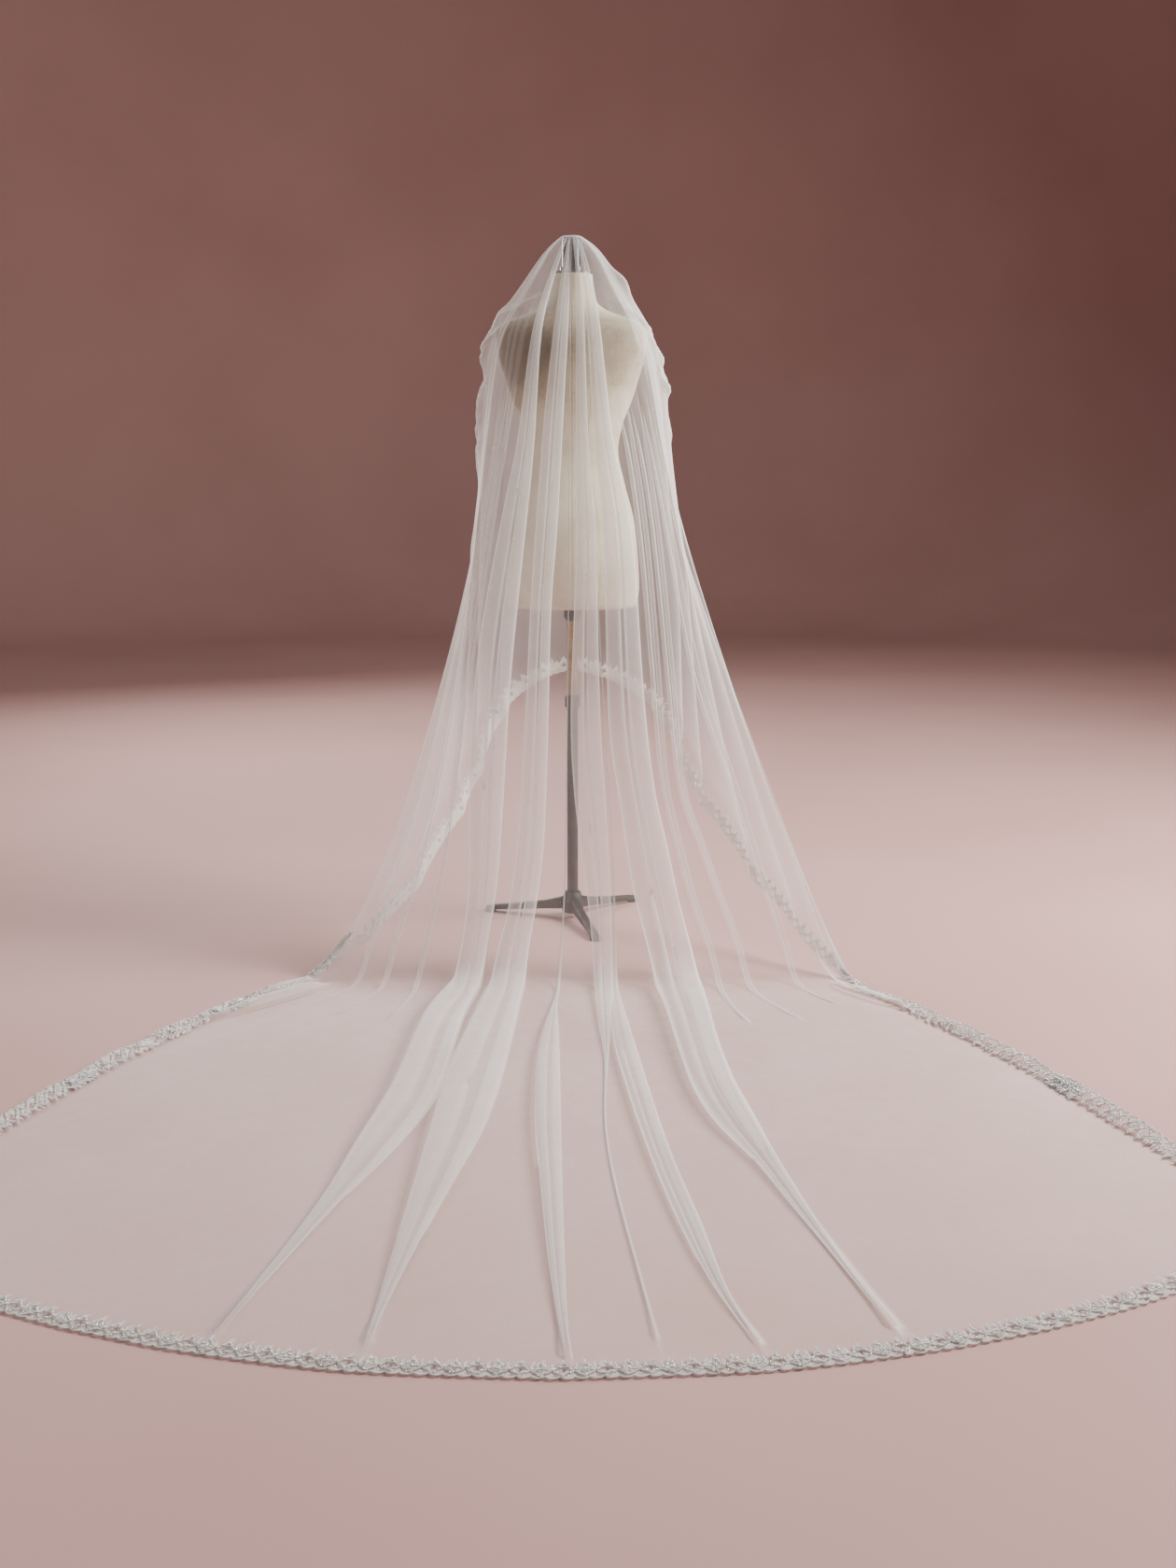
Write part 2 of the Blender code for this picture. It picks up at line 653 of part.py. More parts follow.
def build_stand(collection, parent):
    chrome = material("dark_chrome", (0.22, 0.23, 0.25), 0.25, 1.0)
    iron = material("cast_iron", (0.03, 0.03, 0.03), 0.5, 0.6)
    brass = material("brass", (0.45, 0.32, 0.18), 0.4, 0.8)
    gap = 0.0003
    cap_top = NECK_TOP + gap + CAP_THICKNESS
    turned("neck_cap", ((0.0, cap_top), (NECK_RADIUS - 0.0015, cap_top), (NECK_RADIUS, cap_top - 0.0015),
                        (NECK_RADIUS, NECK_TOP + gap), (0.0, NECK_TOP + gap)), iron, collection, parent)
    foot = cap_top + gap
    turned("neck_post", ((0.0, POST_TOP), (POST_RADIUS - 0.007, POST_TOP), (POST_RADIUS - 0.002, POST_TOP - 0.002),
                         (POST_RADIUS, POST_TOP - 0.007), (POST_RADIUS, foot + 0.012),
                         (POST_RADIUS + 0.005, foot + 0.010), (POST_RADIUS + 0.005, foot),
                         (0.0, foot)), chrome, collection, parent)
    knob_top = TORSO_BOTTOM - gap
    turned("knob", ((0.0, knob_top), (KNOB_RADIUS * 0.8, knob_top), (KNOB_RADIUS, knob_top - 0.008),
                    (KNOB_RADIUS, KNOB_BOTTOM + 0.008), (KNOB_RADIUS * 0.75, KNOB_BOTTOM),
                    (0.0, KNOB_BOTTOM)), iron, collection, parent)
    turned("upper_tube", ((0.0, KNOB_BOTTOM - gap), (UPPER_TUBE_RADIUS, KNOB_BOTTOM - gap),
                          (UPPER_TUBE_RADIUS, COLLAR_TOP + gap), (0.0, COLLAR_TOP + gap)),
           brass, collection, parent)
    turned("collar", ((0.0, COLLAR_TOP), (COLLAR_RADIUS - 0.002, COLLAR_TOP), (COLLAR_RADIUS, COLLAR_TOP - 0.002),
                      (COLLAR_RADIUS, COLLAR_BOTTOM + 0.002), (COLLAR_RADIUS - 0.002, COLLAR_BOTTOM),
                      (0.0, COLLAR_BOTTOM)), iron, collection, parent)
    turned("lower_tube", ((0.0, COLLAR_BOTTOM - gap), (LOWER_TUBE_RADIUS, COLLAR_BOTTOM - gap),
                          (LOWER_TUBE_RADIUS, HUB_TOP + gap), (0.0, HUB_TOP + gap)), iron, collection, parent)
    turned("hub", ((0.0, HUB_TOP), (HUB_RADIUS - 0.008, HUB_TOP), (HUB_RADIUS - 0.004, HUB_TOP - 0.010),
                   (HUB_RADIUS, HUB_TOP - 0.024), (HUB_RADIUS, HUB_BOTTOM + 0.004),
                   (HUB_RADIUS - 0.004, HUB_BOTTOM), (0.0, HUB_BOTTOM)), iron, collection, parent)
    for side, degrees in LEG_ANGLES.items():
        build_leg(side, math.radians(degrees), iron, collection, parent)


def build_leg(side, angle, mat, collection, parent):
    """A flat bar that slopes from the hub to a round foot, which rests on the floor."""
    sections = ("out", "half_width", "low", "high")
    rows = (
        (HUB_RADIUS + 0.0004, LEG_WIDTH * 0.55, 0.022, 0.050),
        (0.070, LEG_WIDTH * 0.50, 0.019, 0.038),
        (0.140, LEG_WIDTH * 0.48, 0.012, 0.026),
        (LEG_REACH - 0.015, LEG_WIDTH * 0.50, FOOT_HEIGHT + 0.0003, 0.018),
        (LEG_REACH + FOOT_RADIUS * 0.6, LEG_WIDTH * 0.42, FOOT_HEIGHT + 0.0003, 0.014),
    )
    bm = bmesh.new()
    loops = []
    for row in rows:
        size = named(sections, row)
        half, bevel = size["half_width"], 0.003
        outline = ((-half, size["low"]), (half, size["low"]), (half, size["high"] - bevel),
                   (half - bevel, size["high"]), (bevel - half, size["high"]), (-half, size["high"] - bevel))
        loops.append([bm.verts.new((size["out"], y, z)) for y, z in outline])
    for near, far in zip(loops, loops[1:]):
        for i in range(len(near)):
            k = (i + 1) % len(near)
            bm.faces.new((near[k], near[i], far[i], far[k]))
    bm.faces.new(loops[0])
    bm.faces.new(list(reversed(loops[-1])))
    bmesh.ops.recalc_face_normals(bm, faces=bm.faces)
    leg = add_object("leg_" + side, mesh_from("leg_" + side, bm), mat, collection, parent)
    leg.rotation_euler.z = angle
    foot = turned("foot_" + side, ((0.0, FOOT_HEIGHT), (FOOT_RADIUS, FOOT_HEIGHT), (FOOT_RADIUS, 0.0),
                                   (0.0, 0.0)), mat, collection, parent)
    foot.location = (LEG_REACH * math.cos(angle), LEG_REACH * math.sin(angle), 0.0)


def main():
    for obj in list(bpy.data.objects):
        bpy.data.objects.remove(obj, do_unlink=True)
    collection = bpy.data.collections.new("bridal_veil")
    bpy.context.scene.collection.children.link(collection)
    axis = bpy.data.objects.new("stand_axis", None)
    axis.location = (0.0, AXIS_Y, 0.0)
    collection.objects.link(axis)
    build_stand(collection, axis)
    build_torso(collection, axis)
    build_tulle_and_lace(collection, axis)


main()
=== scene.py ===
"""A cathedral-length tulle veil with a lace edge on a limbless dress form, seen from behind.

The CAD frame gives the stand. The veil, its lace and the torso's cover are modelled here, about the
stand's axis, in the CAD's own frame: +Z up, the train towards -Y.
"""
import json
import math

import bmesh
import bpy
import numpy as np
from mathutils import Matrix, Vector

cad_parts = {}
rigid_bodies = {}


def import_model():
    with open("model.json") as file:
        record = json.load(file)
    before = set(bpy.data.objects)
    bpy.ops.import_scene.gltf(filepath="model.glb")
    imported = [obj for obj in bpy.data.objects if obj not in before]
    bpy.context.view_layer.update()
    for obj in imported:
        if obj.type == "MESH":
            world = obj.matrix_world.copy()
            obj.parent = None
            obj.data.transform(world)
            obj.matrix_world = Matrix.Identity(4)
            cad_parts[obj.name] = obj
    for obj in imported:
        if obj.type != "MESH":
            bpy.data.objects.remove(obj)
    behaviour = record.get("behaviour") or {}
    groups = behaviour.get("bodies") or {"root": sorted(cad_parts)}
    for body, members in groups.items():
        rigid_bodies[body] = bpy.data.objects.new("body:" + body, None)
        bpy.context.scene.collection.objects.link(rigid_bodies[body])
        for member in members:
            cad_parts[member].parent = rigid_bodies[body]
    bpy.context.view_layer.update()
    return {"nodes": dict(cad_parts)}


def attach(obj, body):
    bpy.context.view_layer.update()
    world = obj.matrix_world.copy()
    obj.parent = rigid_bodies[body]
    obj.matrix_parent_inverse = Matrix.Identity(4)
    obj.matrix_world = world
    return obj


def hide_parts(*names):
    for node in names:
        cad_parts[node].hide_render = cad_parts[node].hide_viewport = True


for leftover in list(bpy.data.objects):
    bpy.data.objects.remove(leftover, do_unlink=True)

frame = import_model()

# Distances in metres, heights above the floor. The stand's axis, the veil's crown, and where the back's
# middle meets the floor, measured from the axis:
AXIS_Y = 0.9675
POST_TOP = 1.6206
CONTACT_Y = -0.56
# Rows of points down the hanging part and the rest of each line of cloth, and the bend's reach between them
TENT_STEPS = 92
TRAIN_STEPS = 74
FILLET = 0.055
FILLET_WEIGHTS = {-1.0: 0.5, -0.66: 0.8, -0.33: 1.0, 0.0: 1.0, 0.33: 1.0, 0.66: 0.8, 1.0: 0.5}
# Lines beside a back corner over which the rows spread out again, and the least length of the lowest part
CORNER_LINES = 26
SHORTEST_TAIL = 0.08
# Flat lines added between two folds, as shares of the gap
GAP_SHARES = (0.05, 0.18, 0.5, 0.82, 0.95)
# The net lies this far off the plain form, and its folds are pressed to these shares of their lift
NET_LIFT = 0.0012
PRESSED_UP = 0.62
PRESSED_DOWN = 0.85
# A fold closes on itself when it is lifted by more than this share of its half width
CLOSING = 0.30
# The hanging hem curls inwards by this much, over this length
HEM_CURL = 0.030
CURL_REACH = 0.085
# The train's hem stands up at the sides: where that starts, and over how far it grows, out from the middle,
# back from the axis, and up from the train's end
RIM_LIFT = 0.013
RIM_REACH = 0.036
RIM_OUT = (0.60, 0.25)
RIM_FRONT = (0.60, 0.15)
RIM_BACK = (1.62, 0.35)
# The crown over the post: its rings as shares of the first row, and the height over the post of edge and top
CROWN_RINGS = (0.72, 0.42, 0.15)
CROWN_EDGE = 0.0016
CROWN_TOP = 0.0026
# Half of what a fold's lines spread over at the hem
FOLD_END = 0.006
# The back's narrow ridges: width by side, lift, how far they close on themselves, and the heights where they
# start and are full
RIDGE_WIDTH = {-1: 1.0, 1: 1.5}
RIDGE_LIFT = 0.34
RIDGE_CLOSED = 0.95
RIDGE_START, RIDGE_FULL = 1.36, 1.10
# How many layers more a gathered line stands for, by height; the share of it that ridges have, and how much
# more the edges of the long folds have
GATHER_ROWS = ((0.0, 0.25), (0.05, 0.30), (0.35, 0.60), (0.80, 1.10), (1.20, 1.90), (1.44, 2.30),
               (1.50, 1.50), (1.54, 0.30), (1.63, 0.05))
RIDGE_GATHER = {-1: 0.35, 1: 0.12}
FOLD_EDGE = 1.7
# Net seen square on, how much denser it looks when it slants, and the floor's two tones
TULLE_DENSITY = 0.125
SLANT_GAIN = 1.18
FLOOR_DARK = (0.47, 0.27, 0.245)
FLOOR_LIGHT = (0.52, 0.305, 0.28)

# Sections of the tent from the crown down: distances from the axis.
TENT_COLUMNS = ("height", "front", "side_left", "side_right", "corner_left", "corner_right",
                "corner_back", "back")
TENT_ROWS = (
    (1.6200, 0.0222, 0.0222, 0.0222, 0.0160, 0.0160, 0.0160, 0.0222),
    (1.6150, 0.0280, 0.0300, 0.0310, 0.0230, 0.0230, 0.0205, 0.0270),
    (1.5980, 0.0390, 0.0500, 0.0550, 0.0400, 0.0420, 0.0320, 0.0370),
    (1.5740, 0.0470, 0.0720, 0.0770, 0.0570, 0.0590, 0.0380, 0.0450),
    (1.5480, 0.0550, 0.0890, 0.0940, 0.0700, 0.0720, 0.0450, 0.0530),
    (1.4920, 0.0760, 0.1290, 0.1310, 0.0980, 0.0980, 0.0600, 0.0700),
    (1.4180, 0.1050, 0.1810, 0.1800, 0.1450, 0.1450, 0.0820, 0.0930),
    (1.3700, 0.1230, 0.2020, 0.1990, 0.1620, 0.1640, 0.0950, 0.1060),
    (1.3100, 0.1400, 0.2080, 0.2120, 0.1720, 0.1760, 0.1080, 0.1190),
    (1.1200, 0.1560, 0.2200, 0.2320, 0.1950, 0.2100, 0.1580, 0.1730),
    (0.9500, 0.1620, 0.2250, 0.2500, 0.2150, 0.2450, 0.2080, 0.2230),
    (0.7900, 0.1700, 0.2320, 0.2700, 0.2480, 0.2960, 0.2560, 0.2700),
    (0.5100, 0.1900, 0.2420, 0.2850, 0.3230, 0.4000, 0.3420, 0.3530),
    (0.3160, 0.2000, 0.2600, 0.3000, 0.3850, 0.4700, 0.4020, 0.4120),
    (0.1900, 0.2050, 0.2800, 0.3200, 0.4370, 0.5180, 0.4380, 0.4500),
    (0.0740, 0.2050, 0.3000, 0.3400, 0.5000, 0.5600, 0.4720, 0.4900),
    (0.0220, 0.2050, 0.3100, 0.3500, 0.5440, 0.5860, 0.4950, 0.5300),
    (0.0000, 0.2050, 0.3200, 0.3600, 0.5800, 0.6100, 0.5150, 0.5900),
)
HANGING_HEM = ((0.00, 0.000), (0.10, 0.055), (0.25, 0.160), (0.42, 0.285), (0.60, 0.400), (0.78, 0.520),
               (0.90, 0.580), (1.00, 0.600))
TRAIN_OUTLINE = ((0.000, -2.140), (0.240, -2.124), (0.470, -2.076), (0.720, -1.984), (0.900, -1.876),
                 (1.015, -1.745), (1.040, -1.600), (0.985, -1.400), (0.893, -1.110), (0.787, -0.860),
                 (0.680, -0.640))

# Folds of the back from left to right. Each row of a fold is a station: its height up the tent, or minus
# its distance out along the floor, then the fold's left and right edges and its lift.
LEFT_RIDGES = {
    "left_outer": (
        (1.42, -0.140, -0.134, 0.002), (0.976, -0.205, -0.197, 0.006), (0.63, -0.284, -0.274, 0.009),
        (0.42, -0.336, -0.324, 0.011), (0.22, -0.392, -0.380, 0.012), (0.05, -0.452, -0.440, 0.008),
        (-0.12, -0.480, -0.476, 0.001)),
    "left_middle": (
        (1.42, -0.128, -0.120, 0.003), (0.976, -0.197, -0.186, 0.009), (0.63, -0.262, -0.249, 0.012),
        (0.42, -0.301, -0.286, 0.014), (0.22, -0.346, -0.331, 0.014), (0.05, -0.397, -0.384, 0.010),
        (-0.18, -0.430, -0.426, 0.001)),
    "left_inner": (
        (1.42, -0.112, -0.102, 0.004), (0.976, -0.186, -0.171, 0.012), (0.63, -0.238, -0.223, 0.014),
        (0.42, -0.264, -0.249, 0.014), (0.22, -0.292, -0.278, 0.013), (0.05, -0.328, -0.316, 0.009),
        (-0.20, -0.362, -0.358, 0.001)),
}
LONG_FOLDS = {
    "left": (
        (1.60, -0.022, -0.016, 0.003), (1.50, -0.060, -0.046, 0.007), (1.42, -0.085, -0.066, 0.010),
        (1.14, -0.124, -0.084, 0.018), (0.976, -0.158, -0.100, 0.024), (0.63, -0.213, -0.134, 0.034),
        (0.42, -0.224, -0.146, 0.040), (0.22, -0.222, -0.158, 0.044), (0.05, -0.240, -0.184, 0.046),
        (-0.20, -0.292, -0.212, 0.042), (-0.60, -0.313, -0.226, 0.036), (-0.87, -0.345, -0.280, 0.026),
        (-1.02, -0.362, -0.325, 0.015), (-1.40, -0.430, -0.423, 0.004), (-1.51, -0.453, -0.451, 0.001)),
    "left_of_middle": (
        (1.60, -0.010, -0.004, 0.003), (1.52, -0.024, -0.004, 0.007), (1.225, -0.060, -0.017, 0.017),
        (0.976, -0.079, -0.030, 0.024), (0.77, -0.092, -0.045, 0.028), (0.53, -0.102, -0.050, 0.032),
        (0.29, -0.116, -0.058, 0.038), (0.157, -0.134, -0.074, 0.044), (0.03, -0.164, -0.095, 0.048),
        (-0.30, -0.200, -0.108, 0.044), (-0.56, -0.220, -0.119, 0.040), (-0.77, -0.226, -0.136, 0.036),
        (-0.97, -0.231, -0.168, 0.027), (-1.27, -0.240, -0.214, 0.013), (-1.50, -0.247, -0.245, 0.001)),
    "middle": (
        (1.60, -0.001, 0.000, 0.001), (0.20, -0.014, -0.012, 0.001), (0.05, -0.024, -0.020, 0.001),
        (-0.10, -0.036, -0.026, 0.007), (-0.27, -0.050, -0.020, 0.017), (-0.48, -0.058, -0.014, 0.024),
        (-0.74, -0.053, -0.008, 0.026), (-0.99, -0.037, -0.002, 0.022), (-1.21, -0.022, 0.004, 0.016),
        (-1.40, -0.005, 0.010, 0.009), (-1.54, 0.014, 0.016, 0.001)),
    "right_of_middle": (
        (1.60, 0.004, 0.010, 0.003), (1.52, 0.012, 0.024, 0.007), (1.14, 0.011, 0.040, 0.017),
        (0.976, 0.012, 0.054, 0.024), (0.53, -0.001, 0.067, 0.034), (0.37, 0.009, 0.078, 0.034),
        (0.26, 0.024, 0.084, 0.032), (0.125, 0.042, 0.090, 0.028), (0.0, 0.052, 0.091, 0.022),
        (-0.27, 0.062, 0.083, 0.012), (-0.45, 0.069, 0.076, 0.005), (-0.71, 0.066, 0.068, 0.001),
        (-1.52, 0.128, 0.130, 0.001)),
    "inner_right": (
        (1.60, 0.012, 0.013, 0.001), (0.53, 0.074, 0.077, 0.001), (0.20, 0.092, 0.097, 0.003),
        (0.05, 0.088, 0.100, 0.007), (-0.16, 0.084, 0.113, 0.015), (-0.31, 0.087, 0.124, 0.020),
        (-0.61, 0.110, 0.147, 0.022), (-0.90, 0.140, 0.173, 0.020), (-1.17, 0.177, 0.207, 0.016),
        (-1.36, 0.214, 0.228, 0.010), (-1.52, 0.263, 0.265, 0.001)),
    "right": (
        (1.60, 0.016, 0.024, 0.003), (1.50, 0.030, 0.052, 0.008), (1.14, 0.054, 0.098, 0.018),
        (0.976, 0.072, 0.134, 0.024), (0.53, 0.084, 0.169, 0.040), (0.37, 0.108, 0.190, 0.046),
        (0.28, 0.121, 0.213, 0.050), (0.18, 0.137, 0.233, 0.054), (0.09, 0.161, 0.256, 0.056),
        (-0.04, 0.191, 0.280, 0.052), (-0.36, 0.211, 0.288, 0.044), (-0.58, 0.226, 0.300, 0.040),
        (-0.74, 0.253, 0.320, 0.034), (-0.90, 0.303, 0.340, 0.022), (-1.09, 0.348, 0.369, 0.012),
        (-1.27, 0.392, 0.400, 0.005), (-1.48, 0.441, 0.443, 0.001)),
}
RIGHT_RIDGES = {
    "right_inner": (
        (1.42, 0.076, 0.088, 0.005), (0.976, 0.150, 0.168, 0.013), (0.63, 0.182, 0.198, 0.014),
        (0.42, 0.200, 0.212, 0.013), (0.295, 0.229, 0.241, 0.012), (0.17, 0.262, 0.273, 0.012),
        (0.05, 0.305, 0.315, 0.009), (-0.20, 0.352, 0.356, 0.001)),
    "right_middle": (
        (1.42, 0.104, 0.116, 0.004), (0.976, 0.180, 0.196, 0.011), (0.63, 0.215, 0.230, 0.013),
        (0.395, 0.240, 0.253, 0.013), (0.29, 0.279, 0.291, 0.012), (0.17, 0.323, 0.334, 0.012),
        (0.06, 0.365, 0.376, 0.009), (-0.20, 0.412, 0.416, 0.001)),
    "right_outer": (
        (1.42, 0.126, 0.136, 0.003), (0.976, 0.210, 0.224, 0.010), (0.63, 0.276, 0.292, 0.013),
        (0.43, 0.345, 0.360, 0.014), (0.33, 0.378, 0.392, 0.014), (0.22, 0.412, 0.425, 0.012),
        (0.08, 0.462, 0.474, 0.009), (-0.12, 0.505, 0.509, 0.001)),
}
# Where the ridges' lines end, as a share of the hem between the last long fold and the corner.
RIDGE_ENDS = {"left_outer": 0.66, "left_middle": 0.44, "left_inner": 0.20,
              "right_inner": 0.20, "right_middle": 0.42, "right_outer": 0.66}

# Long low ridges on the floor at the sides: side, share of the hem where they end, width, lift, start and end
FLOOR_RIDGES = (
    (-1, 0.80, 0.024, 0.020, 0.03, 0.97),
    (-1, 0.90, 0.020, 0.017, 0.02, 0.95),
    (1, 0.84, 0.018, 0.015, 0.03, 0.92),
)

# Folds of the front and the sides from the right corner round to the left one: width beside the others,
# lift at the shoulder, the waist and the hem, how far the fold closes on itself, and how much it gathers.
DRAPE_COLUMNS = ("name", "width", "shoulder", "waist", "hem", "closed", "gathered")
DRAPE_ROWS = (
    ("corner_right", 1.0, 0.0005, 0.0008, 0.003, 0.03, 0.0),
    ("side_right_a", 1.3, 0.0008, 0.0018, 0.012, 0.13, 0.1),
    ("side_right_b", 1.8, 0.0012, 0.0032, 0.017, 0.20, 0.15),
    ("side_right_c", 1.3, 0.0012, 0.0022, 0.014, 0.15, 0.2),
    ("arm_right", 1.7, 0.0025, 0.0040, 0.022, 0.20, 0.35),
    ("front_right", 1.5, 0.0012, 0.0030, 0.024, 0.22, 0.5),
    ("front_middle", 1.9, 0.0010, 0.0025, 0.022, 0.20, 0.45),
    ("front_left", 1.4, 0.0012, 0.0030, 0.024, 0.22, 0.5),
    ("arm_left", 1.8, 0.0025, 0.0040, 0.022, 0.20, 0.35),
    ("side_left_c", 1.3, 0.0012, 0.0026, 0.014, 0.15, 0.2),
    ("side_left_b", 1.7, 0.0012, 0.0030, 0.016, 0.20, 0.15),
    ("side_left_a", 1.2, 0.0008, 0.0015, 0.010, 0.13, 0.1),
    ("corner_left", 1.0, 0.0005, 0.0008, 0.003, 0.03, 0.0),
)
DRAPE_STEPS = 18
# Heights of the waist and the shoulder in these rows, the share of a side at which it turns to the front, and
# where the folds start to close and over how far down they do
WAIST, SHOULDER = 0.95, 1.37
DIAGONAL = 0.74
CLOSE_START, CLOSE_REACH = 1.52, 0.35

# Soft swellings, dents and crumples of the hanging cloth: way round, height, spread round and up, change of
# height along the way round, and push outwards.
SWELLINGS = (
    (0.19, 1.515, 0.050, 0.028, 0.00, 0.016),
    (0.22, 1.290, 0.040, 0.030, 0.00, 0.009),
    (0.80, 1.375, 0.050, 0.026, 0.00, 0.012),
    (0.78, 1.300, 0.045, 0.022, 0.00, -0.008),
    (0.80, 1.225, 0.050, 0.030, 0.00, 0.009),
    (0.79, 1.050, 0.050, 0.050, 0.00, -0.008),
    (0.72, 1.445, 0.050, 0.022, 0.00, 0.014),
    (0.80, 0.900, 0.040, 0.050, 0.00, 0.007),
    (0.24, 0.900, 0.040, 0.060, 0.00, 0.006),
    (0.68, 1.445, 0.090, 0.007, -0.50, 0.012),
    (0.70, 1.424, 0.080, 0.006, -0.45, -0.007),
    (0.72, 1.404, 0.070, 0.007, -0.55, 0.008),
    (0.64, 1.476, 0.050, 0.007, -0.35, 0.009),
    (0.62, 1.462, 0.040, 0.005, 0.30, -0.006),
    (0.77, 1.345, 0.050, 0.008, -0.70, 0.007),
    (0.80, 1.270, 0.045, 0.009, 0.60, 0.007),
    (0.76, 1.190, 0.040, 0.009, -0.80, 0.006),
    (0.81, 1.130, 0.040, 0.010, 0.70, 0.006),
    (0.30, 1.440, 0.070, 0.007, 0.50, 0.009),
    (0.28, 1.420, 0.060, 0.006, 0.45, -0.006),
    (0.24, 1.345, 0.045, 0.007, -0.60, 0.010),
    (0.22, 1.318, 0.040, 0.006, -0.50, -0.007),
    (0.25, 1.285, 0.040, 0.008, 0.60, 0.009),
    (0.23, 1.180, 0.040, 0.010, -0.70, 0.005),
    (0.42, 1.440, 0.080, 0.010, 0.20, 0.006),
    (0.56, 1.430, 0.080, 0.010, -0.25, 0.006),
    (0.47, 1.390, 0.060, 0.009, -0.15, -0.004),
)

TORSO_COLUMNS = ("height", "half_width", "front", "back", "power")
TORSO_ROWS = (
    (0.7720, 0.1500, 0.0900, 0.1120, 2.2),
    (0.7820, 0.1560, 0.0960, 0.1180, 2.2),
    (0.8200, 0.1600, 0.1010, 0.1260, 2.2),
    (0.8700, 0.1580, 0.1020, 0.1320, 2.2),
    (0.9700, 0.1480, 0.0980, 0.1200, 2.2),
    (1.0600, 0.1250, 0.0880, 0.0920, 2.1),
    (1.1400, 0.1090, 0.0840, 0.0740, 2.0),
    (1.2000, 0.1200, 0.0980, 0.0760, 2.0),
    (1.2500, 0.1400, 0.1180, 0.0840, 2.1),
    (1.3000, 0.1560, 0.1140, 0.0880, 2.2),
    (1.3600, 0.1720, 0.0900, 0.0860, 2.2),
    (1.4050, 0.1770, 0.0640, 0.0740, 2.2),
    (1.4280, 0.1600, 0.0500, 0.0640, 2.1),
    (1.4445, 0.1150, 0.0460, 0.0580, 2.0),
    (1.4590, 0.0780, 0.0500, 0.0540, 2.0),
    (1.4750, 0.0590, 0.0500, 0.0510, 2.0),
    (1.4960, 0.0515, 0.0490, 0.0495, 2.0),
    (1.5370, 0.0485, 0.0485, 0.0485, 2.0),
)


# Curves through tables

def curve(stations, values, at):
    """Smooth curve through a table that never overshoots; stations rise."""
    x = np.asarray(stations, float)
    y = np.asarray(values, float)
    gaps = np.diff(x)
    slopes = np.diff(y) / gaps
    tangents = np.zeros_like(y)
    tangents[0], tangents[-1] = slopes[0], slopes[-1]
    same = slopes[:-1] * slopes[1:] > 0
    w1 = 2 * gaps[1:] + gaps[:-1]
    w2 = gaps[1:] + 2 * gaps[:-1]
    safe = np.where(same, slopes[:-1], 1.0), np.where(same, slopes[1:], 1.0)
    tangents[1:-1] = np.where(same, (w1 + w2) / (w1 / safe[0] + w2 / safe[1]), 0.0)
    at = np.clip(np.asarray(at, float), x[0], x[-1])
    i = np.clip(np.searchsorted(x, at, side="right") - 1, 0, len(x) - 2)
    t = (at - x[i]) / gaps[i]
    rest = 1 - t
    return (y[i] * (1 + 2 * t) * rest ** 2 + y[i + 1] * t ** 2 * (3 - 2 * t)
            + gaps[i] * (tangents[i] * t * rest ** 2 - tangents[i + 1] * t ** 2 * rest))


TENT = {name: np.array([row[k] for row in TENT_ROWS])[::-1] for k, name in enumerate(TENT_COLUMNS)}


def tent(name, height):
    """One size of the tent's section at a height."""
    return curve(TENT["height"], TENT[name], height)


def ease(x):
    """From 0 to 1 and level at both ends."""
    x = np.clip(x, 0.0, 1.0)
    return x * x * (3 - 2 * x)


def unit(vectors):
    """The same vectors with length 1."""
    return vectors / np.maximum(np.linalg.norm(vectors, axis=-1, keepdims=True), 1e-9)


def runs_along(points):
    """Distance along a line of points, at each of them."""
    return np.concatenate([[0], np.cumsum(np.linalg.norm(np.diff(points, axis=0), axis=1))])


def between(field, i, j, t, s):
    """Values between a grid's points: t of the way from line i to the next, and s from row j to the next."""
    k = (i + 1) % len(field)
    first = field[i, j] * (1 - s) + field[i, j + 1] * s
    second = field[k, j] * (1 - s) + field[k, j + 1] * s
    return first * (1 - t) + second * t


# The train's outline on the floor

def outline(side):
    """Closely spaced points of the train's edge on one side, from the middle of its back to the corner."""
    half = TENT["corner_right"][0] if side > 0 else TENT["corner_left"][0]
    marks = [*TRAIN_OUTLINE, (half, -TENT["corner_back"][0])]
    runs = np.concatenate([[0], np.cumsum([math.dist(a, b) for a, b in zip(marks, marks[1:])])])
    fine = np.linspace(0, runs[-1], 400)
    x = curve(runs, [m[0] for m in marks], fine)
    y = curve(runs, [m[1] for m in marks], fine)
    return fine, side * x, y


OUTLINES = {1: outline(1), -1: outline(-1)}


def hem_at(side, run):
    """Point of the train's edge at a run along its outline."""
    runs, x, y = OUTLINES[side]
    return float(np.interp(run, runs, x)), float(np.interp(run, runs, y))


def run_at(x):
    """Side and run along the outline of the point of the back hem at x."""
    side = 1 if x >= 0 else -1
    runs, xs = OUTLINES[side][:2]
    widest = int(np.argmax(np.abs(xs)))
    return side, float(np.interp(abs(x), np.abs(xs[:widest + 1]), runs[:widest + 1]))


# Lines of cloth

def back_y(x, height):
    """How far behind the axis the tent's back lies."""
    half = np.where(x > 0, tent("corner_right", height), tent("corner_left", height))
    share = np.clip(np.abs(x) / half, 0, 1.15)
    back = tent("back", height)
    return -back + (back - tent("corner_back", height)) * share ** 4


def foot_y(x):
    """Where the tent's back meets the floor."""
    return float(back_y(np.array([x]), np.array([0.0]))[0])


def omega(q, closed):
    """Where a line lies across a fold, from -1 to 1, for q from -1 to 1. A closed fold overhangs its foot."""
    steps = np.linspace(0, 1, 41)
    closed = np.asarray(closed, float)

    def place(q, closed):
        return (1 - closed) * q + closed * (0.10 * q + 0.95 * np.sin(np.pi * q))

    return place(q, closed) / place(steps, closed[..., None]).max(-1)


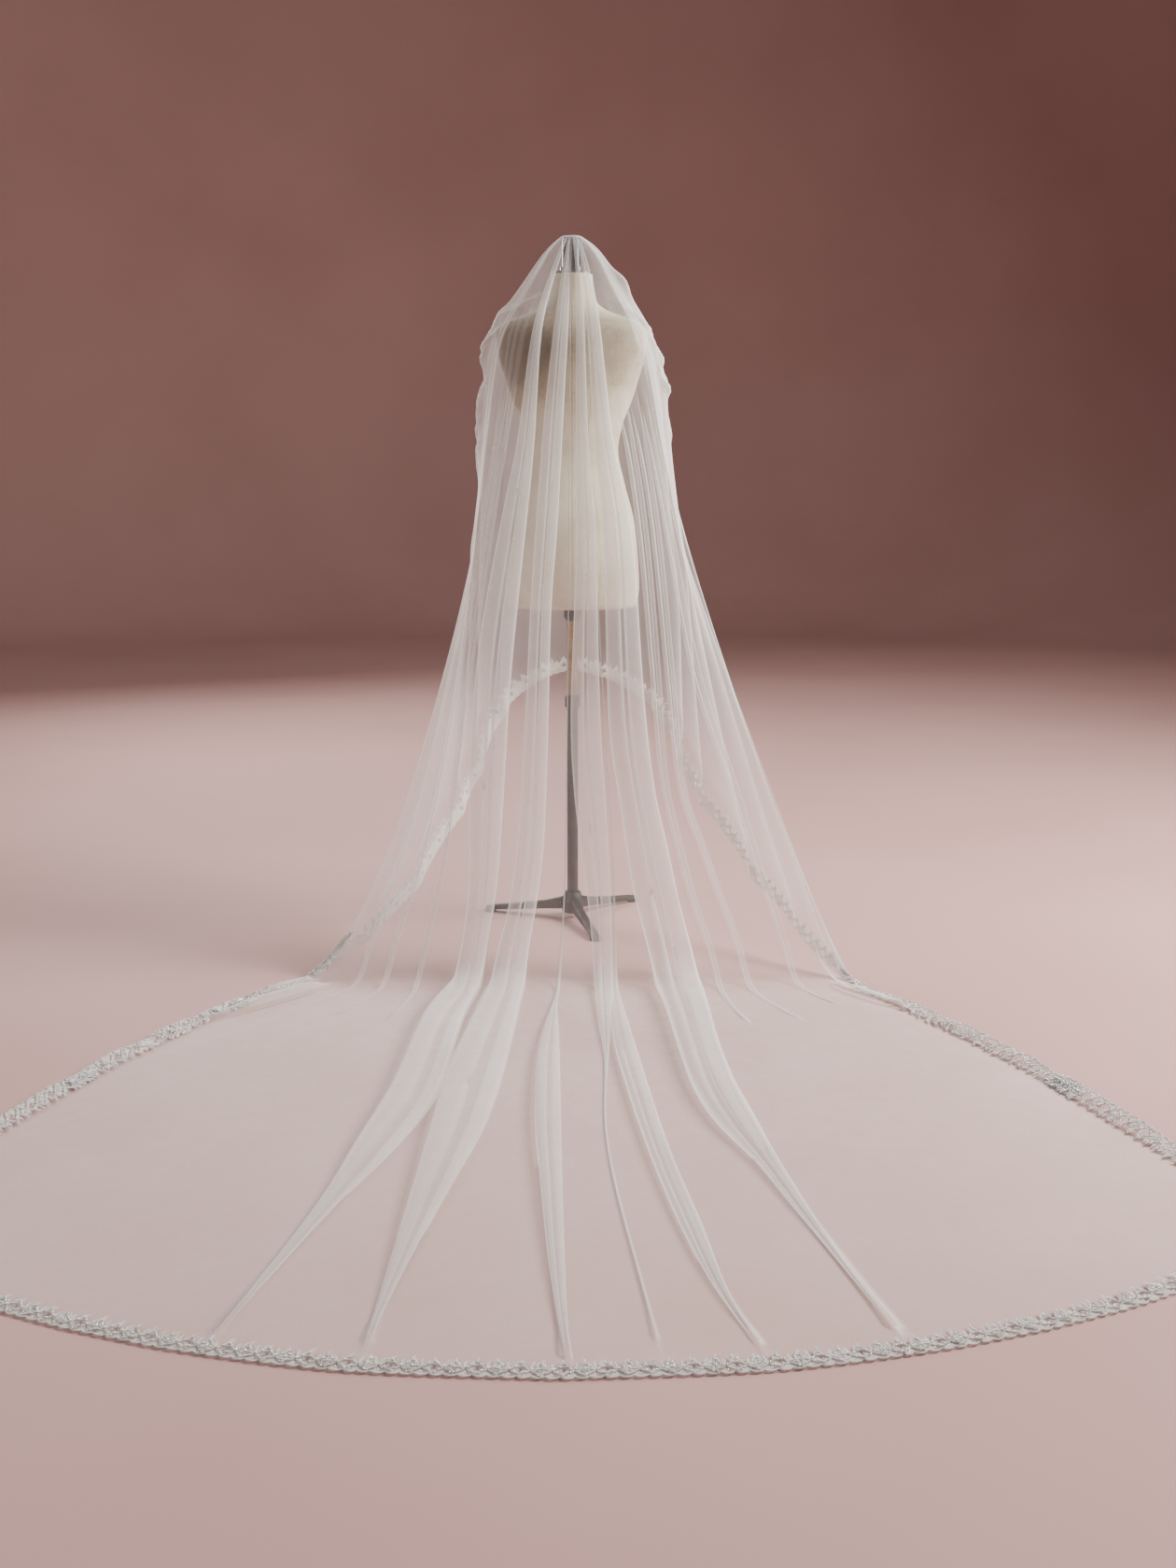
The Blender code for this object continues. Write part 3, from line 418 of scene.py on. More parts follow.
HEIGHTS = np.concatenate([np.linspace(POST_TOP, 1.40, 60), np.linspace(1.40, 0.0, 160)[1:]])
SHARES = np.linspace(0, 1, 161)


class Path:
    """A line of cloth: closely spaced base points, the lift at each, and how much of it lies on the floor."""

    def __init__(self, points, lifts, floor_length, gathered=0.0):
        self.points = points
        self.lifts = lifts
        self.floor_length = floor_length
        self.gathered = gathered


def fold_values(stations, ways):
    """Left edge, right edge and lift of a fold at each way along it."""
    rows = sorted(stations)
    at = [row[0] for row in rows]
    left, right, lift = (curve(at, [row[k] for row in rows], ways) for k in (1, 2, 3))
    low, high = at[0], at[-1]
    narrowing = tent("corner_right", ways) / tent("corner_right", high)
    left = np.where(ways > high, left * narrowing, left)
    right = np.where(ways > high, right * narrowing, right)
    lift = np.where(ways > high, lift * ease((POST_TOP - ways) / (POST_TOP - high)), lift)
    return left, right, np.where(ways < low, 0.0, lift)


def line_path(x_tent, lift_tent, x_floor, y_floor, lift_floor, gathered=0.0):
    """A path from its tent part and its floor part."""
    y_tent = back_y(x_tent, HEIGHTS)
    top = np.stack([x_tent, y_tent, HEIGHTS], 1)
    low = np.stack([x_floor, y_floor, np.zeros_like(x_floor)], 1)
    points = np.concatenate([top, low[1:]])
    lifts = np.concatenate([lift_tent, lift_floor[1:]])
    steps = np.linalg.norm(np.diff(low, axis=0), axis=1).sum()
    return Path(points, lifts, steps, gathered)


def fold_shape(stations, ways, q, width=1.0, closed=1.0, share=1.0, fade=1.0):
    """The middle of a fold, and how far a line of it lies beside the middle and above the plain form."""
    left, right, lift = fold_values(stations, ways)
    lift = lift * share * fade
    half = (right - left) / 2 * width
    tightness = closed * ease(lift / (CLOSING * half + 1e-5))
    rise = (1 + math.cos(math.pi * q)) / 2
    return (left + right) / 2, half * omega(q, tightness), lift * rise


def long_fold_line(stations, q):
    """A line of a fold that runs straight out along the floor to the back hem; q is -1 to 1 across it."""
    centre, beside, lift = fold_shape(stations, HEIGHTS, q)
    x_tent = centre + beside
    foot_x, start_y = x_tent[-1], foot_y(x_tent[-1])
    last = sorted(stations)[0]
    end_x, end_y = hem_at(*run_at((last[1] + last[2]) / 2 + FOLD_END * q))
    y = start_y + (end_y - start_y) * SHARES
    ways = (y - start_y) / (end_y - start_y) * (end_y - CONTACT_Y)
    middle, beside, floor_lift = fold_shape(stations, ways, q)
    x = middle + beside
    x = x + (foot_x - x[0]) * (1 - SHARES) ** 4
    settle = ease((SHARES - 0.9) / 0.1)
    x = x * (1 - settle) + (end_x + (x - x[-1])) * settle
    pressed = PRESSED_UP + (PRESSED_DOWN - PRESSED_UP) * ease((0.30 - HEIGHTS) / 0.30)
    gathered = 1 + FOLD_EDGE * math.exp(-((abs(q) - 0.5) / 0.09) ** 2)
    return line_path(x_tent, lift * pressed, x, y, floor_lift * PRESSED_DOWN * (1 - settle), gathered)


def side_floor(side, foot, share, start_run, bend_share):
    """The floor part of a line beside the long folds, out to the side of the train."""
    whole = OUTLINES[side][0][-1]
    end_x, end_y = hem_at(side, start_run + (whole - start_run) * share)
    bend = SHARES ** (1.0 + 0.5 * (1 - bend_share))
    return foot[0] + (end_x - foot[0]) * bend, foot[1] + (end_y - foot[1]) * SHARES


def side_line(side, share, tent_share, edge_stations, start_run):
    """A flat line between the outermost ridge and the corner."""
    edge = fold_values(edge_stations, HEIGHTS)[1 if side > 0 else 0]
    corner = side * (tent("corner_right", HEIGHTS) if side > 0 else tent("corner_left", HEIGHTS))
    x_tent = edge + (corner - edge) * tent_share
    x, y = side_floor(side, (x_tent[-1], foot_y(x_tent[-1])), share, start_run, share)
    return line_path(x_tent, np.zeros_like(x_tent), x, y, np.zeros_like(x))


def ridge_line(side, stations, q, share, start_run):
    """A line of a narrow ridge that fades out a little way along the floor."""
    fade = ease((RIDGE_START - HEIGHTS) / (RIDGE_START - RIDGE_FULL))
    size = (RIDGE_WIDTH[side], RIDGE_CLOSED, RIDGE_LIFT)
    centre, beside, lift = fold_shape(stations, HEIGHTS, q, *size, fade)
    foot = (centre[-1], foot_y(centre[-1]))
    x, y = side_floor(side, foot, share + 0.004 * q * side, start_run, share)
    x_tent = centre + beside
    centre, beside, floor_lift = fold_shape(stations, np.minimum(y - foot[1], 0.0), q, *size)
    return line_path(x_tent, lift, x + beside * (1 - SHARES), y, floor_lift, RIDGE_GATHER[side])


def floor_ridge_line(side, q, share, tent_share, half, height, start, end, edge_stations, start_run):
    """A line of a long low ridge that lies on the floor beside the corner."""
    spread = 0.006 * q * side
    path = side_line(side, share + spread, tent_share + spread, edge_stations, start_run)
    rise = (1 + math.cos(math.pi * q)) / 2
    body = ease((SHARES - start) / 0.15) * ease((end - SHARES) / 0.45)
    count = len(SHARES) - 1
    along = path.points[-count - 1:]
    tangent = np.gradient(along, axis=0)
    across = np.stack([-tangent[:, 1], tangent[:, 0]], 1)
    across /= np.linalg.norm(across, axis=1)[:, None] + 1e-9
    across *= np.where(across[:, 1:] < 0, -1.0, 1.0)
    shift = side * half * omega(q, 0.9 * body) * body
    path.points[-count:, :2] += (across * shift[:, None])[1:]
    path.lifts[-count:] = (height * rise * body)[1:]
    return path


def hang_path(way, drape, step):
    """A line of the front or a side, which ends at the hanging hem."""
    from_corner = 2 * min(way, 1 - way)
    hem = np.interp(from_corner, [a for a, b in HANGING_HEM], [b for a, b in HANGING_HEM])
    down = np.concatenate([np.linspace(0, 0.14, 50), np.linspace(0.14, 1, 190)[1:]])
    heights = hem + (POST_TOP - hem) * (1 - down)
    names = ("front", "side_left", "side_right", "corner_left", "corner_right", "corner_back")
    front, left, right, corner_left, corner_right, corner_back = (tent(name, heights) for name in names)
    xs = (corner_right, (corner_right + right) / 2, right, right * DIAGONAL, 0 * front,
          -left * DIAGONAL, -left, -(corner_left + left) / 2, -corner_left)
    ys = (-corner_back, -corner_back / 2, 0 * front, front * DIAGONAL, front,
          front * DIAGONAL, 0 * front, -corner_back / 2, -corner_back)
    spot = way * (len(xs) - 1)
    i = min(int(spot), len(xs) - 2)
    t = spot - i
    blend = []
    for marks in (xs, ys):
        a, b, c, d = marks[max(i - 1, 0)], marks[i], marks[i + 1], marks[min(i + 2, len(marks) - 1)]
        blend.append((2 * b + (c - a) * t + (2 * a - 5 * b + 4 * c - d) * t ** 2
                      + (3 * b - a - 3 * c + d) * t ** 3) / 2)
    points = np.stack([blend[0], blend[1], heights], 1)
    rise = (1 - math.cos(2 * math.pi * step)) / 2
    lift = curve((0.0, WAIST, SHOULDER, POST_TOP),
                 (drape["hem"], drape["waist"], drape["shoulder"], 0.0), heights) * rise
    for centre, height, spread, tall, slant, push in SWELLINGS:
        middle = height + slant * (way - centre)
        around = math.exp(-((way - centre) / spread) ** 2)
        lift = lift + push * around * np.exp(-((heights - middle) / tall) ** 2)
    return Path(points, lift, 0.0)


def veil_lines():
    """Every line of cloth once round: the back from left to right, then the right side, the front and the
    left side. Also the last line before each flat gap between the back's folds."""
    lines = []
    folds = list(LONG_FOLDS.values())
    ends = {}
    for side, stations in ((-1, folds[0]), (1, folds[-1])):
        last = sorted(stations)[0]
        ends[side] = run_at((last[1] + last[2]) / 2 + FOLD_END * side)[1]

    outer = {-1: LEFT_RIDGES["left_outer"], 1: RIGHT_RIDGES["right_outer"]}
    outer_end = {-1: RIDGE_ENDS["left_outer"], 1: RIDGE_ENDS["right_outer"]}

    def tent_share(side, share):
        return (share - outer_end[side]) / (1 - outer_end[side])

    def side_lines(side, *shares):
        """Flat lines beside the corner, from their shares of the hem."""
        return [side_line(side, share, tent_share(side, share), outer[side], ends[side]) for share in shares]

    def ridges(side, table):
        return [[ridge_line(side, stations, q, RIDGE_ENDS[name], ends[side]) for q in np.linspace(-1, 1, 11)]
                for name, stations in table.items()]

    def floor_ridge(side, share, *shape):
        rest = (tent_share(side, share), *shape, outer[side], ends[side])
        return [floor_ridge_line(side, q, share, *rest) for q in np.linspace(-1, 1, 9)]

    groups = [side_lines(-1, 1.0, 0.985, 0.96, 0.93), floor_ridge(*FLOOR_RIDGES[1]),
              side_lines(-1, 0.87, 0.84), floor_ridge(*FLOOR_RIDGES[0]), side_lines(-1, 0.76, 0.72)]
    groups += ridges(-1, LEFT_RIDGES)
    groups += [[long_fold_line(stations, q) for q in np.linspace(-1, 1, 19)] for stations in folds]
    groups += ridges(1, RIGHT_RIDGES)
    groups += [side_lines(1, 0.74, 0.79), floor_ridge(*FLOOR_RIDGES[2]),
               side_lines(1, 0.89, 0.93, 0.96, 0.985, 1.0)]
    gaps = []
    for group in groups:
        lines += group
        gaps.append(len(lines) - 1)
    gaps.pop()
    widths = np.array([row[1] for row in DRAPE_ROWS])
    widths = widths / widths.sum()
    way = 0.0
    for width, row in zip(widths, DRAPE_ROWS):
        drape = dict(zip(DRAPE_COLUMNS, row))
        for step in np.arange(DRAPE_STEPS) / DRAPE_STEPS:
            q = 2 * step - 1
            across = float(omega(q, np.array(drape["closed"])))
            shifted = way + width * (across + 1) / 2 if step > 0 else way
            path = hang_path(min(max(way + width * step, 0.0), 1.0), drape, step)
            if step > 0:
                moved = hang_path(min(max(shifted, 0.0), 1.0), drape, step)
                mix = ease((CLOSE_START - path.points[:, 2]) / CLOSE_REACH)[:, None]
                path.points = path.points * (1 - mix) + moved.points * mix
            path.gathered = drape["gathered"] * math.sin(math.pi * step)
            lines.append(path)
        way += width
    return lines, gaps


def settled(path, tail):
    """Rows of points and lifts along a path, rounded where it meets the floor."""
    runs = runs_along(path.points)
    whole = runs[-1]
    upper = whole - tail
    wanted = np.concatenate([upper * np.linspace(0, 1, TENT_STEPS + 1) ** 1.12,
                             upper + tail * np.linspace(0, 1, TRAIN_STEPS + 1)[1:]])
    out = np.zeros((len(wanted), 3))
    total = 0.0
    for offset, weight in FILLET_WEIGHTS.items():
        reach = np.minimum(FILLET, np.minimum(wanted * 0.5, whole - wanted))
        at = wanted + offset * reach
        out += weight * np.stack([np.interp(at, runs, path.points[:, k]) for k in range(3)], 1)
        total += weight
    return out / total, np.interp(wanted, runs, path.lifts)


def with_gap_lines(base, lifts, gathered, gaps):
    """The same lines with flat ones added in the gaps, close beside the folds and in the middle."""
    edges = {side: np.stack(OUTLINES[side][1:], 1) for side in (-1, 1)}
    out_base, out_lifts, out_gathered = [], [], []
    for i in range(len(base)):
        out_base.append(base[i])
        out_lifts.append(lifts[i])
        out_gathered.append(gathered[i])
        if i not in gaps:
            continue
        for share in GAP_SHARES:
            line = base[i] * (1 - share) + base[i + 1] * share
            end = line[-1, :2]
            edge = edges[1 if end[0] > 0 else -1]
            near = edge[np.argmin(np.hypot(edge[:, 0] - end[0], edge[:, 1] - end[1]))]
            pull = ease((np.arange(len(line)) - TENT_STEPS) / TRAIN_STEPS)[:, None]
            line[:, :2] += (near - end) * pull
            out_base.append(line)
            out_lifts.append(lifts[i] * (1 - share) + lifts[i + 1] * share)
            out_gathered.append(0.0)
    return np.array(out_base), np.array(out_lifts), np.array(out_gathered)


def side_rim(grid):
    """How far the train's edge stands up at the sides, in uneven waves."""
    edge = grid[:, -1]
    around = unit(np.roll(edge, -2, 0) - np.roll(edge, 2, 0))
    square = np.linalg.norm(np.cross(around, unit(grid[:, -6] - edge)), axis=1)
    steps = np.linalg.norm(np.diff(grid, axis=1), axis=2)
    away = np.concatenate([np.cumsum(steps[:, ::-1], axis=1)[:, ::-1], np.zeros((len(grid), 1))], 1)
    x, y = edge[:, 0], edge[:, 1]
    sideways = ease((np.abs(x) - RIM_OUT[0]) / RIM_OUT[1]) * ease((-RIM_FRONT[0] - y) / RIM_FRONT[1])
    sideways *= ease((y + RIM_BACK[0]) / RIM_BACK[1])
    waves = 1 + 0.35 * np.sin(y * 41) + 0.25 * np.sin(y * 97 + 1.3)
    return (RIM_LIFT * sideways * waves)[:, None] * ease(1 - away * square[:, None] / RIM_REACH)


def veil_grid():
    """Points of the veil as an array of lines by rows by 3, and how many layers more each stands for."""
    lines, gaps = veil_lines()
    share = TRAIN_STEPS / (TENT_STEPS + TRAIN_STEPS)
    base, lifts = [], []
    hanging = [i for i, path in enumerate(lines) if path.floor_length == 0.0]
    first, last = hanging[0], hanging[-1]
    for i, path in enumerate(lines):
        length = np.linalg.norm(np.diff(path.points, axis=0), axis=1).sum()
        if i in hanging:
            away = min(i - first, last - i) / CORNER_LINES
            tail = SHORTEST_TAIL + (length * share - SHORTEST_TAIL) * float(ease(away))
        else:
            tail = max(path.floor_length, SHORTEST_TAIL)
        points, lift = settled(path, tail)
        if i in hanging:
            down = runs_along(points)
            corner = min(i - first, last - i) / (last - first)
            strength = float(ease(corner / 0.06)) * (1 - 0.6 * float(ease((corner - 0.25) / 0.2)))
            lift = lift - HEM_CURL * strength * ease((CURL_REACH - (down[-1] - down)) / CURL_REACH)
        base.append(points)
        lifts.append(lift)
    base, lifts = np.array(base), np.array(lifts)
    base, lifts, gathered = with_gap_lines(base, lifts, [path.gathered for path in lines], gaps)
    wide = np.roll(base, -4, 0) - np.roll(base, 4, 0)
    along = np.gradient(base, axis=1)
    outward = unit(np.cross(along, wide))
    for _ in range(3):
        outward[:, 1:-1] = (outward[:, :-2] + 2 * outward[:, 1:-1] + outward[:, 2:]) / 4
    grid = base + unit(outward) * (lifts + NET_LIFT)[..., None]
    grid[..., 2] = np.maximum(grid[..., 2] + side_rim(grid), NET_LIFT * 0.5)
    heights, layers = zip(*GATHER_ROWS)
    return grid, gathered[:, None] * curve(heights, layers, grid[..., 2])


def grid_quads(rows, columns, round_rows=False, round_columns=False, flip=False):
    """Quads between the neighbours in a grid of points, whose rows or columns may close in a ring."""
    i = np.arange(rows if round_rows else rows - 1)[:, None]
    j = np.arange(columns if round_columns else columns - 1)[None, :]
    k, m = (i + 1) % rows, (j + 1) % columns
    corners = [i * columns + j, k * columns + j, k * columns + m, i * columns + m]
    if flip:
        corners[1], corners[3] = corners[3], corners[1]
    return np.stack(corners, -1).reshape(-1, 4)


def array_mesh(name, verts, mat, *faces, smooth=True, uv=None):
    """An object from an array of points and arrays of faces, each array with one number of corners."""
    mesh = bpy.data.meshes.new(name)
    corners = np.concatenate([part.ravel() for part in faces]).astype(np.int32)
    sizes = np.concatenate([np.full(len(part), part.shape[1]) for part in faces])
    mesh.vertices.add(len(verts))
    mesh.vertices.foreach_set("co", verts.astype(np.float32).ravel())
    mesh.loops.add(len(corners))
    mesh.loops.foreach_set("vertex_index", corners)
    mesh.polygons.add(len(sizes))
    mesh.polygons.foreach_set("loop_start", (np.cumsum(sizes) - sizes).astype(np.int32))
    mesh.update(calc_edges=True)
    if smooth:
        mesh.shade_smooth()
    if uv is not None:
        mesh.uv_layers.new(name="cloth").data.foreach_set("uv", uv.astype(np.float32)[corners].ravel())
    obj = bpy.data.objects.new(name, mesh)
    bpy.context.scene.collection.objects.link(obj)
    obj.data.materials.append(mat)
    return obj


def build_veil(mat):
    """The veil's object, with its layers and its way down as cloth coordinates, and its grid of points."""
    grid, extra = veil_grid()
    count, rows, _ = grid.shape
    crown = []
    for share in CROWN_RINGS:
        ring = grid[:, 0] * share
        ring[:, 2] = POST_TOP + CROWN_EDGE + 0.0008 * (1 - share)
        crown.append(ring)
    crown = np.stack(crown[::-1], 1)
    full = np.concatenate([crown, grid], 1)
    total = full.shape[1]
    verts = full.reshape(-1, 3) + np.array([0, AXIS_Y, 0])
    faces = grid_quads(count, total, round_rows=True, flip=True)
    centre = len(verts)
    verts = np.concatenate([verts, [[0, AXIS_Y, POST_TOP + CROWN_TOP]]])
    ring = np.arange(count)
    cap = np.stack([np.full(count, centre), ring * total, (ring + 1) % count * total], 1)
    layers = np.concatenate([np.zeros((count, total - rows)), extra], 1).ravel()
    down = np.broadcast_to(np.arange(total) / total, (count, total)).ravel()
    cloth = np.stack([np.append(layers, 0.0), np.append(down, 0.0)], 1)
    return array_mesh("veil", verts, mat, faces, cap, uv=cloth), grid


# Lace along the hem

# One repeat of the lace, the band's depth and rows, and the steps of the walk from a row to the next
LACE_REPEAT = 0.054
EDGE_DEPTH = 0.048
EDGE_ROWS = 9
WALK_STEPS = 3
# Scallops of a repeat, their depth, and how far in from the net's edge they end
SCALLOPS, SCALLOP_DEPTH, EDGE_INSET = 3, 0.0042, 0.0012
# The two vines swing about the middle of the band and cross there, over and under each other; then the edge
# cord and the ground. Nothing lies lower over the floor than the last size.
VINE_MIDDLE = 0.0175
VINE_SWING = 0.0085
VINE_HEIGHT, VINE_WEAVE, VINE_RADIUS = 0.0024, 0.0009, 0.0011
CORD_HEIGHT, CORD_RADIUS = 0.0016, 0.0012
GROUND_HEIGHT = 0.0006
LOWEST = 0.0008

# Leaves and petals of one repeat: share along it, distance in from the edge, turn in degrees from the hem's
# direction (90 points inwards), length, width, height.
LEAF_ROWS = (
    (0.02, 0.0195, 82, 0.0170, 0.0052, 0.0014),
    (0.10, 0.0225, 58, 0.0150, 0.0048, 0.0018),
    (0.17, 0.0250, 74, 0.0150, 0.0046, 0.0012),
    (0.25, 0.0262, 92, 0.0165, 0.0052, 0.0020),
    (0.33, 0.0250, 108, 0.0145, 0.0046, 0.0013),
    (0.41, 0.0220, 124, 0.0150, 0.0048, 0.0018),
    (0.50, 0.0195, 96, 0.0175, 0.0052, 0.0013),
    (0.59, 0.0225, 60, 0.0150, 0.0050, 0.0018),
    (0.67, 0.0252, 78, 0.0155, 0.0046, 0.0012),
    (0.75, 0.0262, 88, 0.0160, 0.0050, 0.0020),
    (0.84, 0.0250, 112, 0.0150, 0.0048, 0.0013),
    (0.92, 0.0222, 126, 0.0150, 0.0046, 0.0018),
    (0.08, 0.0150, -38, 0.0120, 0.0044, 0.0015),
    (0.20, 0.0100, -66, 0.0085, 0.0040, 0.0013),
    (0.31, 0.0100, -112, 0.0085, 0.0040, 0.0013),
    (0.42, 0.0150, -142, 0.0120, 0.0044, 0.0015),
    (0.58, 0.0150, -40, 0.0120, 0.0044, 0.0015),
    (0.70, 0.0100, -64, 0.0085, 0.0040, 0.0013),
    (0.81, 0.0100, -116, 0.0085, 0.0040, 0.0013),
    (0.92, 0.0150, -140, 0.0120, 0.0044, 0.0015),
    (0.05, 0.0178, 4, 0.0085, 0.0040, 0.0022),
    (0.45, 0.0172, 176, 0.0085, 0.0040, 0.0022),
    (0.25, 0.0175, 18, 0.0058, 0.0048, 0.0021),
    (0.25, 0.0175, 90, 0.0058, 0.0048, 0.0022),
    (0.25, 0.0175, 162, 0.0058, 0.0048, 0.0021),
    (0.25, 0.0175, 234, 0.0058, 0.0048, 0.0022),
    (0.25, 0.0175, 306, 0.0058, 0.0048, 0.0021),
)
INNER_LEAVES = 12
# Along a leaf: share of its length, and of its width there
LEAF_SECTIONS = ((0.0, 0.18), (0.20, 0.78), (0.45, 1.0), (0.70, 0.74), (0.88, 0.36), (1.0, 0.02))

# Crystals of one repeat: share along it, distance in from the edge, radius, height
CRYSTAL_ROWS = (
    (0.25, 0.0175, 0.0020, 0.0048),
    (0.00, 0.0175, 0.0018, 0.0048),
    (0.50, 0.0175, 0.0018, 0.0048),
    (0.13, 0.0225, 0.0014, 0.0046),
    (0.37, 0.0225, 0.0014, 0.0046),
    (0.64, 0.0235, 0.0014, 0.0046),
    (0.86, 0.0235, 0.0014, 0.0046),
    (0.25, 0.0300, 0.0014, 0.0044),
    (0.75, 0.0305, 0.0014, 0.0044),
    (0.62, 0.0110, 0.0014, 0.0046),
    (0.88, 0.0110, 0.0014, 0.0046),
    (0.17, 0.0055, 0.0012, 0.0038),
    (0.50, 0.0060, 0.0012, 0.0038),
    (0.83, 0.0055, 0.0012, 0.0038),
)


class Border:
    """The veil's edge as a band: metres along the hem, metres in from the edge and height above the net."""

    def __init__(self, grid):
        rows = self.square_rows(grid)
        around = np.roll(rows, -2, 0) - np.roll(rows, 2, 0)
        outward = unit(np.cross(-np.gradient(rows, axis=1), around))
        self.rows = np.concatenate([rows, rows[:1]])
        self.outward = np.concatenate([outward, outward[:1]])
        self.runs = runs_along(self.rows[:, EDGE_ROWS // 2])
        self.length = self.runs[-1]
        self.repeats = round(self.length / LACE_REPEAT)
        self.scale = self.length / (self.repeats * LACE_REPEAT)

    @staticmethod
    def square_rows(grid):
        """Points at equal distances in from the edge, square to it, found by walking over the net."""
        count, last = grid.shape[0], grid.shape[1] - 1

        def spot(line, row):
            row = np.clip(row, 0, last - 0.001)
            i, j = np.floor(line).astype(int), row.astype(int)
            return between(grid, i % count, j, (line - i)[:, None], (row - j)[:, None])

        line, row = np.arange(count) * 1.0, np.full(count, last * 1.0)
        edge = grid[:, -1]
        around = unit(np.roll(edge, -2, 0) - np.roll(edge, 2, 0))
        rows = [edge]
        for step in range((EDGE_ROWS - 1) * WALK_STEPS):
            across = (spot(line + 1.0, row) - spot(line - 1.0, row)) / 2
            inward = (spot(line, row - 0.6) - spot(line, row)) / 0.6
            along = (inward * around).sum(1)
            gain = (across * around).sum(1)
            gain = np.where(np.abs(gain) < 0.0008, 0.0008, gain)
            shift = -along / gain
            reach = np.linalg.norm(inward + across * shift[:, None], axis=1)
            reach = np.maximum(reach, 0.25 * np.linalg.norm(inward, axis=1) + 1e-6)
            size = EDGE_DEPTH / (EDGE_ROWS - 1) / WALK_STEPS / reach
            line = line + np.clip(shift * size, -3.0, 3.0)
            row = row - size
            if (step + 1) % WALK_STEPS == 0:
                rows.append(spot(line, row))
        return np.stack(rows, 1)

    def at(self, u, v, h):
        """Points in the row frame from lengths along the hem, distances inwards and heights."""
        spot = np.interp((u * self.scale) % self.length, self.runs, np.arange(len(self.runs)))
        i = np.minimum(spot.astype(int), len(self.runs) - 2)
        t = (spot - i)[..., None]
        row = np.clip(v / EDGE_DEPTH, 0, 0.9999) * (EDGE_ROWS - 1)
        j = row.astype(int)
        s = (row - j)[..., None]
        out = between(self.rows, i, j, t, s) + between(self.outward, i, j, t, s) * h[..., None]
        out[..., 2] = np.maximum(out[..., 2], LOWEST)
        return out + np.array([0, AXIS_Y, 0])


def edge_in(share):
    """How far the scalloped edge lies inside the net's own edge."""
    return EDGE_INSET + SCALLOP_DEPTH * (1 - np.abs(np.sin(SCALLOPS * math.pi * share)) ** 0.8)


def lace_cord(border, inwards, height, radius, per_repeat=22, sides=6):
    """Points, quads and cloth coordinates of a cord that runs once round the border."""
    count = border.repeats * per_repeat
    share = np.arange(count) / per_repeat
    v, h = inwards(share % 1), height(share % 1)
    slope = np.gradient(np.concatenate([v[-1:], v, v[:1]]))[1:-1] * per_repeat / LACE_REPEAT
    length = np.sqrt(1 + slope ** 2)
    turn = np.arange(sides) / sides * 2 * math.pi
    u = (share * LACE_REPEAT)[:, None] - (slope / length)[:, None] * radius * np.cos(turn)
    v = v[:, None] + (1 / length)[:, None] * radius * np.cos(turn)
    h = h[:, None] + radius * np.sin(turn)
    points = border.at(u, np.maximum(v, 0), h).reshape(-1, 3)
    cloth = np.stack(np.broadcast_arrays((share * LACE_REPEAT)[:, None] * 100, turn / math.tau), -1)
    return points, grid_quads(count, sides, round_rows=True, round_columns=True), cloth.reshape(-1, 2)


def joined(parts):
    """Several (points, quads, cloth coordinates) as one."""
    points, quads, cloth = zip(*parts)
    shifts = np.cumsum([0] + [len(p) for p in points[:-1]])
    quads = [part + shift for part, shift in zip(quads, shifts)]
    return np.concatenate(points), np.concatenate(quads), np.concatenate(cloth)


def lace_leaves(border, rows, seed):
    """Folded pointed leaves and petals of every repeat, none quite like the next."""
    rng = np.random.default_rng(seed)
    table = np.array(rows)
    shape = (border.repeats, len(table))
    along = (np.arange(border.repeats)[:, None] + table[:, 0]) * LACE_REPEAT + rng.normal(0, 0.0005, shape)
    inwards = table[:, 1] + rng.normal(0, 0.0005, shape)
    turn = np.radians(table[:, 2] + rng.normal(0, 8, shape))
    length = table[:, 3] * (1 + rng.normal(0, 0.10, shape))
    width = table[:, 4] * (1 + rng.normal(0, 0.08, shape))
    height = table[:, 5] + rng.normal(0, 0.0001, shape)
    curl = rng.normal(0, 0.10, shape)
    sections = len(LEAF_SECTIONS)
    forth, breadth = np.array(LEAF_SECTIONS).T
    forth = np.broadcast_to(forth[:, None], (sections, 5))
    beside = breadth[:, None] * np.linspace(-1, 1, 5)
    big = (..., None, None)
    forward = length[big] * forth
    sideways = width[big] * (beside * 0.5) + curl[big] * length[big] * forth ** 2
    u = along[big] + np.cos(turn)[big] * forward - np.sin(turn)[big] * sideways
    v = inwards[big] + np.sin(turn)[big] * forward + np.cos(turn)[big] * sideways
    rise = rng.uniform(0.0008, 0.0034, shape)[big]
    h = height[big] + 0.0011 * np.abs(beside) + rise * np.sin(0.75 * math.pi * forth)
    points = border.at(u, np.clip(v, EDGE_INSET, EDGE_DEPTH - 0.001), h).reshape(-1, 3)
    leaves = border.repeats * len(table)
    quads = (grid_quads(sections, 5)[None] + (np.arange(leaves) * sections * 5)[:, None, None]).reshape(-1, 4)
    cloth = np.stack([forth * 1.5, beside], -1).reshape(-1, 2)
    return points, quads, np.tile(cloth, (leaves, 1))


